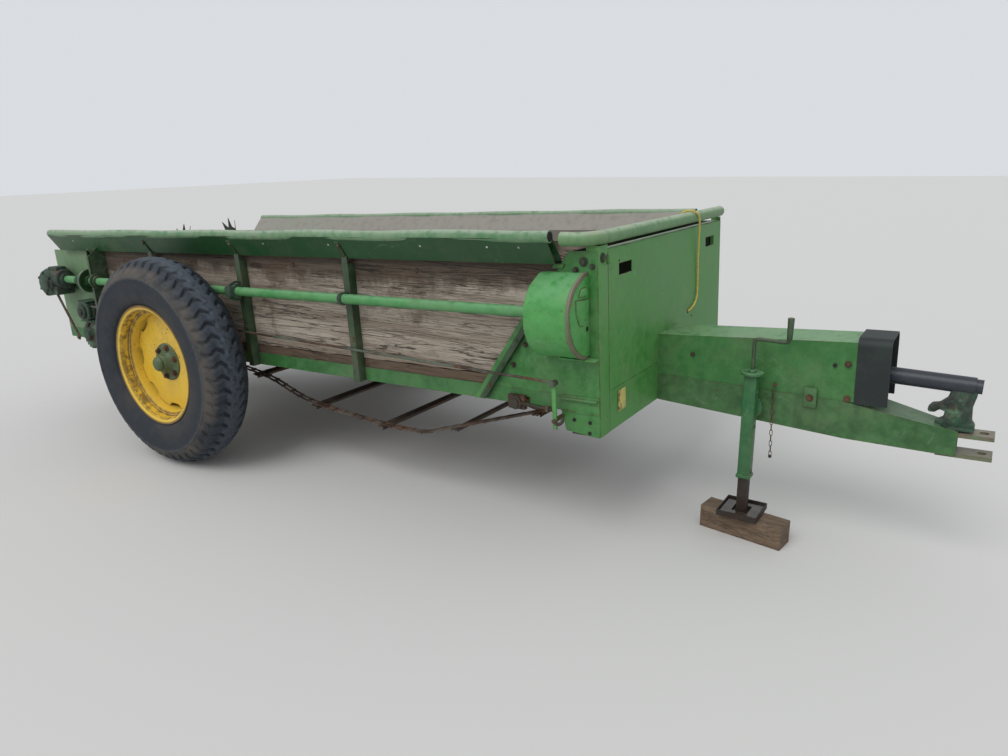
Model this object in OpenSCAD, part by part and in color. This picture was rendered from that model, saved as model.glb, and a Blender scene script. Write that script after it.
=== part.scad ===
// Towed manure spreader with wooden sides, a chain apron and a single rear beater.
// Millimetres. The machine is drawn level, X forward from the axle, Y to the left, Z up from
// the ground under the wheels, and parked() then tips it nose-up onto its jack.

/* [Parking] */
// Nose-up angle that the machine stands at on its jack, in degrees
park_tilt = 2; // [1:0.25:3]
// Height of the wooden block under the jack
block_h = 89; // [60:1:110]
// Length of the wooden block
block_len = 318; // [200:2:400]
// Width of the wooden block
block_w = 89; // [80:1:110]
// Turn of the block away from the machine's own direction, in degrees
block_turn = -8; // [-15:1:15]

/* [Wheels] */
// Radius of the tyre over its tread
tyre_r = 500; // [480:5:520]
// Width of the tyre over its sidewalls
tyre_w = 235; // [225:5:245]
// Width of the tread
tread_w = 196; // [180:2:205]
// Thickness of the tyre's wall
tyre_wall = 16; // [12:1:20]
// Radius of the widest part of the sidewall
side_r = 395; // [380:5:410]
// Distance of each wheel's middle plane from the centre line
wheel_y = 835; // [825:5:860]
// Radius of the rim's flange
rim_r = 287; // [280:1:292]
// Width of the rim over its flanges
rim_w = 188; // [176:2:196]
// Thickness of the rim and its disc
rim_t = 7; // [5:1:9]
// Height of the rim's flange over its bead seat
flange_h = 20; // [16:1:24]
// Depth of the rim's well under its bead seat
well_h = 24; // [18:1:30]
// Radius of the hub's barrel
hub_r = 46; // [42:1:52]
// Radius of the hub's flange
hub_flange_r = 92; // [86:1:100]
// Reach of the hub's cap outward from the wheel's middle plane
hub_reach = 71; // [60:1:80]
// Number of wheel bolts
bolts = 6; // [5:1:8]
// Radius of the wheel bolt circle
bolt_circle_r = 72; // [68:1:76]
// Diameter of the axle tube
axle_d = 57; // [50:1:60]
// Diameter of the spindles
spindle_d = 44; // [36:1:50]

/* [Box] */
// Distance of the sills' and boards' outer faces from the centre line
box_y = 620; // [590:5:640]
// Height of the sills' underside
sill_z = 475; // [465:1:480]
// Height of each sill
sill_h = 58; // [54:1:66]
// Width of each sill's flanges
sill_flange = 45; // [36:1:55]
// Thickness of the sills' steel
sill_t = 5; // [4:0.5:7]
// Thickness of the side boards
board_t = 22; // [18:1:28]
// Height of the strip under the side boards
strip_h = 37; // [30:1:44]
// Height of the seam between the two side boards
seam_z = 800; // [760:5:840]
// Height of the side boards' top edge
board_top = 990; // [970:5:1000]
// Open seam between boards
board_gap = 6; // [3:1:9]
// Thickness of the floor boards
floor_t = 22; // [18:1:26]
// Number of floor boards
floor_boards = 6; // [4:1:8]
// Rear end of the side boards
box_rear = -990; // [-1020:5:-960]
// Rear end of the floor
floor_rear = -1000; // [-1010:5:-980]
// Front end of the floor
floor_front = 1765; // [1740:5:1775]
// Foot of the slanted front wall
wall_foot_x = 1690; // [1670:5:1700]
// Top of the slanted front wall
wall_top_x = 2090; // [2060:5:2100]
// Height of the slanted front wall's top
wall_top = 1034; // [1010:2:1040]
// Thickness of the sheet steel
sheet_t = 3; // [2:0.5:4]
// Spacing of the stakes that carry the sides
stake_pitch = 687; // [670:1:695]
// Place of the second stake
stake_x = -300; // [-320:5:-280]
// Width of a stake
stake_w = 50; // [44:1:60]
// Depth of a stake
stake_d = 40; // [34:1:46]
// Thickness of a stake's steel
stake_t = 4; // [3:0.5:6]
// Top of the stakes
stake_top = 972; // [960:1:976]

/* [Rails] */
// Diameter of the side rails' rolled edge
rail_d = 50; // [44:1:54]
// Distance of the side rails' middle from the centre line
rail_y = 685; // [675:1:695]
// Height of the side rails' middle
rail_z = 1074; // [1066:1:1080]
// Rear end of the side rails
rail_rear = -1390; // [-1400:5:-1350]
// Front end of the side rails
rail_front = 2055; // [2030:5:2060]
// Height of the rails' skirt at its lower edge
skirt_z = 984; // [982:1:992]
// Diameter of the front rail
front_rail_d = 54; // [50:1:58]

/* [Front housing] */
// Front face of the front panel
panel_x = 2190; // [2180:1:2200]
// Height of the front panel's lower edge
panel_low = 390; // [380:1:396]
// Width of a hand hole
hand_w = 100; // [80:2:110]
// Height of a hand hole
hand_h = 52; // [44:1:60]
// Distance of the hand holes from the centre line
hand_y = 440; // [420:5:460]
// Height of the middle of the hand holes
hand_z = 960; // [940:5:970]
// Radius of the chain guard's drum
guard_r = 140; // [130:1:150]
// Rear face of the chain guard
guard_rear = 1980; // [1970:1:1990]
// Front face of the chain guard
guard_front = 2150; // [2140:1:2160]

/* [Drive] */
// Diameter of the side drive shaft
shaft_d = 40; // [34:1:44]
// Distance of the side drive shaft from the centre line
shaft_y = 690; // [684:1:692]
// Height of the side drive shaft
shaft_z = 835; // [825:1:845]
// Rear end of the side drive shaft
shaft_rear = -1150; // [-1160:5:-1130]
// Diameter of the input shaft's tube
input_d = 58; // [52:1:60]
// Front end of the input shaft
input_front = 3276; // [3270:1:3280]
// Height of the input shaft's middle at the front panel
input_z = 590; // [585:1:595]
// Downward slope of the input shaft, in degrees
input_slope = 2.75; // [2:0.25:3]

/* [Beater] */
// Place of the beater's shaft behind the axle
beater_x = -1250; // [-1260:5:-1245]
// Height of the beater's shaft
beater_z = 815; // [805:5:820]
// Radius over the tips of the paddles
beater_r = 250; // [240:2:255]
// Diameter of the beater's tube
beater_d = 114; // [100:2:120]
// Number of paddles along the beater
paddles = 14; // [12:1:16]
// Width of a paddle
paddle_w = 74; // [60:1:74]
// Thickness of a paddle
paddle_t = 6; // [5:1:8]
// Turn from one paddle to the next, in degrees
paddle_step = 77; // [60:1:120]

/* [Apron] */
// Place of the front idler shaft
idler_x = 1860; // [1850:2:1870]
// Height of the front idler shaft
idler_z = 485; // [482:1:490]
// Place of the rear apron shaft
drive_x = -1080; // [-1090:2:-1075]
// Height of the rear apron shaft
drive_z = 500; // [496:1:504]
// Diameter of the apron's shafts
apron_shaft_d = 35; // [30:1:40]
// Distance of the apron's chains from the centre line
chain_y = 500; // [480:5:510]
// Width of an apron chain
chain_w = 34; // [28:1:40]
// Thickness of an apron chain
chain_t = 12; // [8:1:14]
// Spacing of the slats along the apron
slat_pitch = 420; // [400:5:440]
// Width of a slat
slat_w = 38; // [30:1:44]
// Height of a slat over the chain
slat_h = 16; // [12:1:20]

/* [Tongue] */
// Front end of the tongue
tongue_front = 3221; // [3210:1:3230]
// Half width of the tongue at the front panel
tongue_y = 108; // [104:1:112]
// Half width of the tongue at its front end
tongue_tip_y = 44; // [43:1:50]
// Height of the tongue's underside at the front panel
tongue_low = 388; // [384:1:392]
// Height of the tongue's top at the front panel
tongue_top = 495; // [488:1:500]
// Height of the tongue's underside at its front end
tip_low = 300; // [294:1:306]
// Height of the tongue's top at its front end
tip_top = 386; // [382:1:390]
// Place where the tongue's top bends down and its sides draw in
kink_x = 2880; // [2860:5:2890]
// Height of the tongue's top at that bend
kink_top = 463; // [458:1:468]
// Half width of the tongue at that bend
kink_y = 100; // [96:1:104]
// Thickness of the tongue's steel
tongue_t = 6; // [5:0.5:7]
// Front end of the shield over the input shaft
shield_front = 2905; // [2890:5:2920]
// Height of the shield's top at the front panel
shield_top = 654; // [648:1:660]
// Height of the shield's top at its front end
shield_tip_top = 677; // [670:1:684]
// Front end of the rubber boot
boot_front = 3010; // [2990:5:3020]
// Thickness of the rubber boot
boot_t = 6; // [4:1:8]
// Thickness of the hitch plates
hitch_t = 14; // [12:1:15]
// Clear gap between the hitch plates
hitch_gap = 57; // [50:1:60]
// Front end of the hitch plates
hitch_front = 3325; // [3320:1:3335]
// Diameter of the hole for the hitch pin
hitch_hole = 27; // [22:1:32]
// Place of the hole for the hitch pin
hitch_hole_x = 3295; // [3285:1:3297]

/* [Jack] */
// Place of the jack in front of the axle
jack_x = 2571; // [2560:1:2580]
// Distance of the jack from the centre line
jack_y = 165; // [160:1:170]
// Width of the jack's outer tube
jack_w = 45; // [40:1:50]
// Wall of the jack's tubes
jack_wall = 4; // [3:0.5:5]
// Lower end of the jack's outer tube
jack_low = 235; // [225:1:250]
// Upper end of the jack's outer tube
jack_top = 640; // [630:1:650]
// Length of the inner tube that stays in the outer tube
jack_lap = 150; // [120:5:200]
// Clearance between the jack's two tubes
jack_play = 0.5; // [0.3:0.1:0.9]
// Width of the jack's foot pan
pan_w = 150; // [130:2:170]
// Radius of the crank's swing
crank_r = 118; // [100:2:130]
// Height of the crank's arm over the jack
crank_h = 128; // [110:2:140]

/* [Hidden] */

$fn = 48;

// clearance between curved pieces that only seat on each other
seat = 0.3;
// radial clearance of a shaft that turns in its bearing
run = 0.05;

axle_z = tyre_r;
sill_top = sill_z + sill_h;
floor_top = sill_top + floor_t;
board_in = box_y - board_t;
strip_top = sill_top + strip_h;
wall_slope = (wall_top_x - wall_foot_x) / (wall_top - sill_z);
stake_places = [for (i = [0:2]) stake_x + i * stake_pitch];

// a point of the level machine, as it stands parked, before the shift to the middle
function parked_x(x, z) = x * cos(park_tilt) - (z - axle_z) * sin(park_tilt);
function parked_z(x, z) = axle_z + x * sin(park_tilt) + (z - axle_z) * cos(park_tilt);
hitch_low = tip_top - tongue_t - 2 * hitch_t - hitch_gap;
front_end = parked_x(hitch_front, hitch_low);
rear_end = parked_x(beater_x, beater_z) - beater_r;
shift_x = -(front_end + rear_end) / 2;

green = [0.14, 0.36, 0.16];
dark_green = [0.10, 0.26, 0.13];
yellow = [0.85, 0.72, 0.10];
wood = [0.50, 0.44, 0.38];
rust = [0.32, 0.22, 0.16];
black = [0.08, 0.08, 0.09];

// places
module parked()
  translate([shift_x, 0, axle_z])
    rotate([0, -park_tilt, 0])
      translate([0, 0, -axle_z])
        children();

module right_side() mirror([0, 1, 0]) children();

// an outline in Y and Z, drawn out along X
module along_x(x0, x1)
  translate([x0, 0, 0]) rotate([90, 0, 90]) linear_extrude(x1 - x0) children();

// an outline in X and Z, drawn out along Y
module along_y(y0, y1)
  translate([0, y1, 0]) rotate([90, 0, 0]) linear_extrude(y1 - y0) children();

// a bar of sheet from one point to another, t thick
module strip(p, q, t)
  translate(p)
    rotate(atan2(q.y - p.y, q.x - p.x))
      translate([0, -t / 2])
        square([norm(q - p), t]);

// a round bar between two points
module rod(p, q, d) {
  v = q - p;
  translate(p)
    rotate([0, acos(v.z / norm(v)), atan2(v.y, v.x)])
      cylinder(h = norm(v), d = d);
}

// frame
module sill() {
  difference() {
    along_x(rear_plate_rear, panel_x - return_d)
      difference() {
        translate([box_y - sill_flange, sill_z]) square([sill_flange, sill_h]);
        translate([box_y - sill_flange - 1, sill_z + sill_t])
          square([sill_flange - sill_t + 1, sill_h - 2 * sill_t]);
      }
    along_y(box_y - sill_flange - 1, box_y + 1)
      translate([0, axle_z]) circle(d = axle_d + 2 * seat);
    along_y(box_y - sill_flange - 1, box_y + 1)
      translate([idler_x - take_up, idler_z - take_up_h / 2]) square([2 * take_up, take_up_h]);
    along_y(box_y - sill_flange - 1, box_y + 1)
      translate([drive_x, drive_z]) circle(d = apron_shaft_d + 2 * seat);
  }
}
rear_plate_rear = -1345;
return_d = 42;
take_up = 48;
take_up_h = 40;

module sill_left() color(green) parked() sill();
module sill_right() color(green) parked() right_side() sill();

cross_h = 50;
cross_w = 40;
cross_places = concat([box_rear + 40], stake_places, [1640]);
module cross_members() color(dark_green) parked() {
  for (x = cross_places)
    along_y(-(box_y - sill_flange), box_y - sill_flange) {
      translate([x, sill_top - cross_h]) square([sill_t, cross_h]);
      translate([x, sill_top - sill_t]) square([cross_w, sill_t]);
    }
  along_y(-(box_y - sheet_t - 3), box_y - sheet_t - 3)
    difference() {
      translate([panel_x - sheet_t - 110, panel_low]) square([110, sill_z - panel_low]);
      translate([panel_x - sheet_t - 120, panel_low + sill_t])
        square([120 - sill_t, sill_z - panel_low - 2 * sill_t]);
    }
}

module axle() color(dark_green) parked() {
  rotate([90, 0, 0]) translate([0, axle_z, 0])
    cylinder(h = 2 * (box_y + plate_t), d = axle_d, center = true);
  for (s = [-1, 1])
    translate([0, s * (box_y + plate_t), axle_z]) rotate([-90 * s, 0, 0]) {
      translate([0, 0, 0]) cylinder(h = wheel_y - box_y - plate_t + 40, d = spindle_d);
      translate([-plate_w / 2, -plate_w / 2, -plate_t]) cube([plate_w, plate_w, plate_t]);
    }
}
plate_t = 10;
plate_w = 150;

module floor_boards() color(wood) parked() {
  pitch = (2 * board_in - 2) / floor_boards;
  for (i = [0:floor_boards - 1])
    translate([floor_rear, -board_in + 1 + i * pitch, sill_top])
      cube([floor_front - floor_rear, pitch - 3, floor_t]);
}

// slanted line of the front wall
function wall_x(z) = wall_foot_x + (z - sill_z) * wall_slope;

module side_boards() {
  boards = [[sill_top, strip_top], [strip_top, seam_z - board_gap / 2],
    [seam_z + board_gap / 2, board_top]];
  along_y(board_in, box_y)
    for (b = boards)
      polygon([[box_rear, b[0]], [wall_x(b[0]) - 6, b[0]], [wall_x(b[1]) - 6, b[1]],
        [box_rear, b[1]]]);
}
module side_boards_left() color(wood) parked() side_boards();
module side_boards_right() color(wood) parked() right_side() side_boards();

module stake(x, w)
  translate([x - w / 2, box_y, sill_z])
    difference() {
      cube([w, stake_d, stake_top - sill_z]);
      translate([stake_t, -1, -1]) cube([w - 2 * stake_t, stake_d - stake_t + 1, stake_top]);
    }
module stakes() {
  for (x = stake_places) stake(x, stake_w);
}
module stakes_left() color(green) parked() stakes();
module stakes_right() color(green) parked() right_side() stakes();

// rails
module rail() along_x(rail_rear, rail_front) {
  translate([rail_y, rail_z])
    difference() {
      circle(d = rail_d);
      circle(d = rail_d - 8);
    }
  difference() {
    union() {
      strip([board_in - sheet_t / 2, board_top - 60], [board_in - sheet_t / 2, board_top + 4],
        sheet_t);
      strip([board_in - sheet_t / 2, board_top + 3], [rail_y, rail_z], sheet_t);
      strip([rail_y + rail_d / 2 - 4, rail_z], [box_y + 26, skirt_z], sheet_t);
    }
    translate([rail_y, rail_z]) circle(d = rail_d - 6);
    translate([board_in, 0]) square([board_t, board_top]);
  }
}
module rail_left() color(green) parked() rail();
module rail_right() color(green) parked() right_side() rail();

front_rail_z = rail_z - 6;
panel_top = front_rail_z - front_rail_d / 2 - seat;
front_rail_x = panel_x - 6;
corner_r = 70;
module front_rail() color(green) parked() translate([0, 0, front_rail_z]) {
  translate([front_rail_x, -rail_y + corner_r, 0])
    rotate([-90, 0, 0]) cylinder(h = rail_y - corner_r + box_y + 20, d = front_rail_d);
  translate([front_rail_x - corner_r, -rail_y + corner_r, 0])
    rotate([0, 0, -90]) rotate_extrude(angle = 90) translate([corner_r, 0])
      circle(d = front_rail_d);
  translate([rail_front + 2, -rail_y, 0]) rotate([0, 90, 0])
    cylinder(h = front_rail_x - corner_r - rail_front - 2, d = front_rail_d);
}

// front housing
input_at_panel = [panel_x, 0, input_z];
module front_panel() color(green) parked()
  difference() {
    union() {
      along_x(panel_x - sheet_t, panel_x)
        translate([-(box_y - sheet_t), panel_low])
          square([2 * (box_y - sheet_t), panel_top - panel_low]);
      for (s = [-1, 1])
        along_x(panel_x - return_d, panel_x - sheet_t / 2)
          translate([s * (box_y - sheet_t * 1.5) - sheet_t / 2, panel_low])
            square([sheet_t, wall_top - panel_low]);
    }
    for (s = [-1, 1])
      along_x(panel_x - 2 * sheet_t, panel_x + 1)
        translate([s * hand_y, hand_z]) square([hand_w, hand_h], center = true);
    along_x(panel_x - 2 * sheet_t, panel_x + 1)
      translate([0, input_z]) circle(d = input_d + 30);
  }

module front_wall() color(rust) parked()
  along_y(-(board_in - sheet_t - seat), board_in - sheet_t - seat)
    polygon([[wall_x(wall_low), wall_low], [wall_x(wall_top), wall_top],
      [wall_x(wall_top) + 4, wall_top], [wall_x(wall_low) + 4, wall_low]]);
wall_low = floor_top + 52;

module side_panel() {
  along_y(box_y - sheet_t, box_y)
    polygon([[wall_x(sill_top) - 5, sill_top], [wall_x(wall_top) - 5, wall_top],
      [panel_x, wall_top], [panel_x, sill_top]]);
  along_y(box_y, box_y + 6)
    polygon([[wall_x(sill_z) - 28, sill_z], [wall_x(board_top) - 28, board_top],
      [wall_x(board_top) + 12, board_top], [wall_x(sill_z) + 12, sill_z]]);
}
module side_panel_left() color(green) parked() side_panel();
module side_panel_right() color(green) parked()
  right_side()
    difference() {
      side_panel();
      along_y(box_y - 2 * sheet_t, box_y + 10)
        translate([guard_rear + 10, shaft_z - guard_r + 20])
          square([guard_front - guard_rear - 20, 2 * guard_r - 40]);
      along_x(guard_rear - 1, guard_front + 1)
        translate([box_y, shaft_z - guard_r - 1]) square([20, 2 * guard_r + 2]);
    }

module front_gusset_right() color(green) parked() right_side()
  along_y(box_y, box_y + 5)
    polygon([[panel_x - 150, panel_low + 10], [panel_x, panel_low], [panel_x, sill_top],
      [panel_x - 150, sill_top]]);

module chain_guard() color(green) parked() right_side()
  difference() {
    along_x(guard_rear, guard_front)
      intersection() {
        translate([box_y, shaft_z]) circle(r = guard_r);
        translate([box_y, shaft_z - guard_r]) square([guard_r, 2 * guard_r]);
      }
    along_x(guard_rear + sheet_t, guard_front - sheet_t)
      intersection() {
        translate([box_y, shaft_z]) circle(r = guard_r - sheet_t);
        translate([box_y - 1, shaft_z - guard_r]) square([guard_r, 2 * guard_r]);
      }
    along_x(guard_rear - 1, guard_rear + 20)
      translate([shaft_y, shaft_z]) circle(d = shaft_d + 12);
  }

case_x = [2075, 2130];
module drive_case() color(dark_green) parked()
  difference() {
    along_x(case_x[0], case_x[1]) {
      translate([0, case_z]) circle(r = 66);
      translate([-shaft_y, shaft_z]) circle(r = 60);
      strip([0, case_z], [-shaft_y, shaft_z], 120);
    }
    along_x(case_x[0] - 1, case_x[0] + 30)
      translate([-shaft_y, shaft_z]) circle(d = shaft_d + 2 * run);
    input_line() translate([0, 0, -140]) cylinder(h = 140, d = input_d - 18 + 2 * run);
  }
case_z = input_z;

// the input shaft's line, from the front panel forward
module input_line() translate(input_at_panel) rotate([0, 90 + input_slope, 0]) children();

// rear
module rear_plate() along_y(box_y - 5, box_y)
  difference() {
    polygon([[rear_plate_rear, sill_top], [box_rear - 2, sill_top], [box_rear - 2, board_top],
      [rear_plate_rear, board_top]]);
    translate([beater_x, beater_z]) circle(d = beater_shaft_d + 2 * seat);
  }
beater_shaft_d = 40;
module rear_plate_left() color(green) parked() {
  rear_plate();
  along_y(box_y, box_y + 45) bearing_ring([beater_x, beater_z], 110, beater_shaft_d);
}
module rear_plate_right() color(green) parked() right_side() rear_plate();

module bearing_ring(p, d, bore)
  translate(p)
    difference() {
      circle(d = d);
      circle(d = bore + 2 * run);
    }

// bearings that carry the side shaft on its stakes
bearing_places = [box_rear + 12, stake_places[1], stake_places[2]];
module shaft_bearings() color(rust) parked() right_side()
  for (x = bearing_places)
    translate([x, 0, 0]) {
      along_x(-16, 16) bearing_ring([shaft_y, shaft_z], shaft_d + 18, shaft_d);
      translate([0, 0, 0]) along_x(-12, 12)
        difference() {
          translate([x == bearing_places[0] ? box_y : box_y + stake_d, shaft_z - 20])
            square([shaft_y - box_y - (x == bearing_places[0] ? 0 : stake_d), 40]);
          translate([shaft_y, shaft_z]) circle(d = shaft_d + 8);
        }
    }

gearbox_x = [-1340, -1130];
module bevel_gearbox() color(dark_green) parked() right_side()
  difference() {
    union() {
      along_x(gearbox_x[0] + 30, gearbox_x[1])
        translate([shaft_y, shaft_z]) circle(d = 120);
      along_y(box_y, shaft_y + 66)
        translate([beater_x, beater_z]) circle(d = 150);
    }
    along_x(shaft_rear - 10, gearbox_x[1] + 1)
      translate([shaft_y, shaft_z]) circle(d = shaft_d + 2 * run);
    along_y(box_y - 1, box_y + beater_stub + 4)
      translate([beater_x, beater_z]) circle(d = beater_shaft_d + 2 * run);
  }
beater_stub = 30;

// apron
chain_in = floor_top + 1;
idler_r = chain_in - idler_z;
drive_r = chain_in - drive_z;
sag = [[1420, 279], [1270, 240], [1020, 244], [580, 290], [310, 374], [0, 418], [-500, 436]];
function arc(c, r, a0, a1, n) = [for (i = [0:n]) let (a = a0 + (a1 - a0) * i / n)
  [c.x + r * cos(a), c.y + r * sin(a)]];
apron_path = concat(arc([idler_x, idler_z], idler_r, 90, -62, 12), sag,
  arc([drive_x, drive_z], drive_r, -92, -270, 12));
path_n = len(apron_path);
function path_len(i) = i == 0 ? 0 : path_len(i - 1) + norm(apron_path[i] - apron_path[i - 1]);
path_at = [for (i = [0:path_n - 1]) path_len(i)];
loop_len = path_at[path_n - 1] + norm(apron_path[0] - apron_path[path_n - 1]);
function path_point(i) = apron_path[i % path_n];
function leg_of(s) = max([for (i = [0:path_n - 1]) if (path_at[i] <= s) i]);
slats = floor(loop_len / slat_pitch);

module apron() color(rust) parked() {
  for (s = [-1, 1])
    along_y(s * chain_y - chain_w / 2, s * chain_y + chain_w / 2)
      difference() {
        offset(delta = chain_t) polygon(apron_path);
        polygon(apron_path);
      }
  for (k = [0:slats - 1]) {
    s = (k + 0.5) * loop_len / slats;
    i = leg_of(s);
    p = path_point(i);
    q = path_point(i + 1);
    a = atan2(q.y - p.y, q.x - p.x);
    along_y(-chain_y - 30, chain_y + 30)
      translate(p) rotate(a) translate([s - path_at[i] - slat_w / 2, chain_t - 4])
        square([slat_w, slat_h]);
  }
}

module apron_shafts() color(rust) parked() {
  translate([idler_x, 0, idler_z]) rotate([90, 0, 0])
    cylinder(h = 2 * (box_y + 18), d = apron_shaft_d, center = true);
  translate([drive_x, 0, drive_z]) rotate([90, 0, 0])
    cylinder(h = 2 * (box_y + 40), d = apron_shaft_d, center = true);
  for (s = [-1, 1]) {
    along_y(s * chain_y - 8, s * chain_y + 8) {
      translate([idler_x, idler_z]) circle(r = idler_r - 2);
      translate([drive_x, drive_z]) circle(r = drive_r - 2);
    }
    along_y(s * (box_y + 9) - 9, s * (box_y + 9) + 9)
      translate([idler_x - 35, idler_z - 26]) square([70, 52]);
  }
}

module ratchet_drive() color(green) parked() right_side() {
  along_y(box_y + 14, box_y + 22)
    difference() {
      union() {
        translate([drive_x, drive_z]) circle(d = 120);
        strip([drive_x, drive_z], [drive_x + 60, drive_z + 130], 50);
      }
      translate([drive_x, drive_z]) circle(d = apron_shaft_d + 2 * seat);
    }
}

lever_x = 2050;
lever_y = 680;
module feed_control() color(rust) parked() right_side() {
  along_y(lever_y - 4, lever_y + 4)
    translate([lever_x - 14, 420]) square([28, 175]);
  rod([lever_x, lever_y - 9, 588], [-1000, lever_y - 9, 686], 10);
  along_y(box_y + 5, lever_y - 4)
    translate([lever_x, 440]) circle(d = 16);
}

// tongue
function between(x, x0, x1, v0, v1) = v0 + (v1 - v0) * (x - x0) / (x1 - x0);
function tongue_at(x) = x < kink_x ? between(x, panel_x, kink_x, tongue_top, kink_top)
  : between(x, kink_x, tongue_front, kink_top, tip_top);
function tongue_under(x) = between(x, panel_x, tongue_front, tongue_low, tip_low);
function tongue_half(x) = x < kink_x ? between(x, panel_x, kink_x, tongue_y, kink_y)
  : between(x, kink_x, tongue_front, kink_y, tongue_tip_y);

// the tongue's outer body, its sides and top inset by a wall and its underside lowered
module tongue_body(inset, drop)
  intersection() {
    along_y(-2 * tongue_y, 2 * tongue_y)
      polygon([[panel_x, tongue_low - drop], [tongue_front, tip_low - drop],
        [tongue_front, tip_top - inset], [kink_x, kink_top - inset],
        [panel_x, tongue_top - inset]]);
    linear_extrude(1000)
      polygon(concat([for (x = tongue_places) [x, inset - tongue_half(x)]],
        [for (i = [2:-1:0]) [tongue_places[i], tongue_half(tongue_places[i]) - inset]]));
  }
tongue_places = [panel_x, kink_x, tongue_front];
module tongue() color(green) parked()
  difference() {
    tongue_body(0, 0);
    tongue_body(tongue_t, 50);
  }

hitch_w = 2 * (tongue_tip_y - tongue_t - seat);
module hitch() color(rust) parked()
  for (z = [hitch_low, hitch_low + hitch_t + hitch_gap])
    translate([0, 0, z])
      linear_extrude(hitch_t)
        difference() {
          translate([tongue_front - 60, -hitch_w / 2])
            square([hitch_front - tongue_front + 60, hitch_w]);
          translate([hitch_hole_x, 0]) circle(d = hitch_hole);
        }

shield_y = tongue_y - 3;
shield_tip_y = tongue_half(shield_front) - 3;
module shield_body(inset)
  intersection() {
    along_y(-2 * shield_y, 2 * shield_y)
      polygon([[panel_x - inset, tongue_at(panel_x) - 10 * inset],
        [panel_x, tongue_at(panel_x) - 10 * inset],
        [kink_x, tongue_at(kink_x) - 10 * inset],
        [shield_front + inset, tongue_at(kink_x) - 10 * inset],
        [shield_front + inset, shield_tip_top - inset], [panel_x - inset, shield_top - inset]]);
    linear_extrude(1000)
      polygon([[panel_x - inset, inset - shield_y], [shield_front + inset, inset - shield_tip_y],
        [shield_front + inset, shield_tip_y - inset], [panel_x - inset, shield_y - inset]]);
  }
module input_shield() color(green) parked()
  difference() {
    shield_body(0);
    shield_body(sheet_t);
  }

// an arch in Y and Z, with rounded top corners
module arch(y, r, low, top) {
  translate([-y, low]) square([2 * y, top - r - low]);
  translate([-y + r, low]) square([2 * (y - r), top - low]);
  for (s = [-1, 1]) translate([s * (y - r), top - r]) circle(r = r);
}
boot_y = shield_tip_y + 1;
boot_low = tongue_at(shield_front) + seat;
boot_top = 692;
module rubber_boot() color(black) parked()
  along_x(shield_front, boot_front)
    difference() {
      arch(boot_y, 30, boot_low, boot_top);
      arch(boot_y - boot_t, 26, boot_low - 10, boot_top - boot_t);
    }

rest_x = [3150, tongue_front, 3262];
module shaft_rest() color(dark_green) parked()
  difference() {
    along_y(-22, 22)
      polygon([[rest_x[0], tongue_at(rest_x[0])], [rest_x[1], tongue_at(rest_x[1])],
        [rest_x[2], tongue_at(rest_x[1])], [rest_x[2] - 14, 520], [rest_x[0] + 48, 522]]);
    input_line() cylinder(h = 1200, d = input_d + 1);
  }

// jack, which stands plumb
jack_place = [shift_x + jack_x, -jack_y, 0];
jack_in = jack_w - 2 * jack_wall;
leg_w = jack_in - 2 * jack_play;
pan_z = block_h + seat;
module square_tube(w, wall, z0, z1)
  difference() {
    translate([-w / 2, -w / 2, z0]) cube([w, w, z1 - z0]);
    translate([-w / 2 + wall, -w / 2 + wall, z0 - 1])
      cube([w - 2 * wall, w - 2 * wall, z1 - z0 + 2]);
  }
module jack_tube() color(green) translate(jack_place) {
  square_tube(jack_w, jack_wall, jack_low, jack_top);
  translate([0, 0, jack_top])
    difference() {
      cylinder(h = 8, d = 84);
      translate([0, 0, -1]) cylinder(h = 10, d = 14 + 2 * seat);
    }
  translate([0, jack_w / 2, jack_mount_z]) rotate([-90, 0, 0])
    cylinder(h = jack_y - tongue_half(jack_x - jack_mount_d / 2) - jack_w / 2 - seat,
      d = jack_mount_d);
}
jack_mount_z = 505;
jack_mount_d = 60;

module jack_crank() color(dark_green) translate(jack_place) {
  translate([0, 0, jack_top - 20]) cylinder(h = 20 + 8 + crank_h, d = 14);
  translate([0, 0, jack_top + 8 + crank_h - 7]) rotate([0, 90, 0])
    cylinder(h = crank_r, d = 14);
  translate([crank_r, 0, jack_top + 8 + crank_h - 14]) cylinder(h = 96, d = 22);
}

module wood_block() color(wood)
  translate([shift_x + jack_x + 12, -jack_y, 0])
    rotate(block_turn)
      translate([-block_len / 2, -block_w / 2, 0]) cube([block_len, block_w, block_h]);

module jack_leg() color(rust) translate(jack_place) {
  square_tube(leg_w, jack_wall, pan_z + 4, jack_low + jack_lap);
  translate([-pan_w / 2, -pan_w / 2, pan_z])
    difference() {
      cube([pan_w, pan_w, 22]);
      translate([4, 4, 4]) cube([pan_w - 8, pan_w - 8, 22]);
    }
}

// wheels, drawn round Z with the outside upward
bead_r = rim_r - flange_h;
shoulder_r = tyre_r - 14;
bead_w = rim_w / 2 - rim_t;

// half of the tyre's outline, as radius and half width, inset by a wall
function tyre_half(inset) =
  let (w = tyre_w / 2 - inset, b = bead_w - inset, t = tread_w / 2 - inset,
    r0 = rim_r + 2, r1 = shoulder_r - inset)
  concat([[bead_r + (inset > 0 ? -1 : seat), b]],
    [for (a = [0:15:90]) [side_r - (side_r - r0) * cos(a), b + (w - b) * sin(a)]],
    [for (a = [15:15:90]) [side_r + (r1 - side_r) * sin(a), t + (w - t) * cos(a)]],
    [[tyre_r - 3 - inset, t / 2], [tyre_r - inset, 0]]);
function both_halves(half) = concat(half,
  [for (i = [len(half) - 2:-1:0]) [half[i].x, -half[i].y]]);

module tyre() rotate_extrude($fn = 96)
  difference() {
    polygon(both_halves(tyre_half(0)));
    polygon(both_halves(tyre_half(tyre_wall)));
  }

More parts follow.
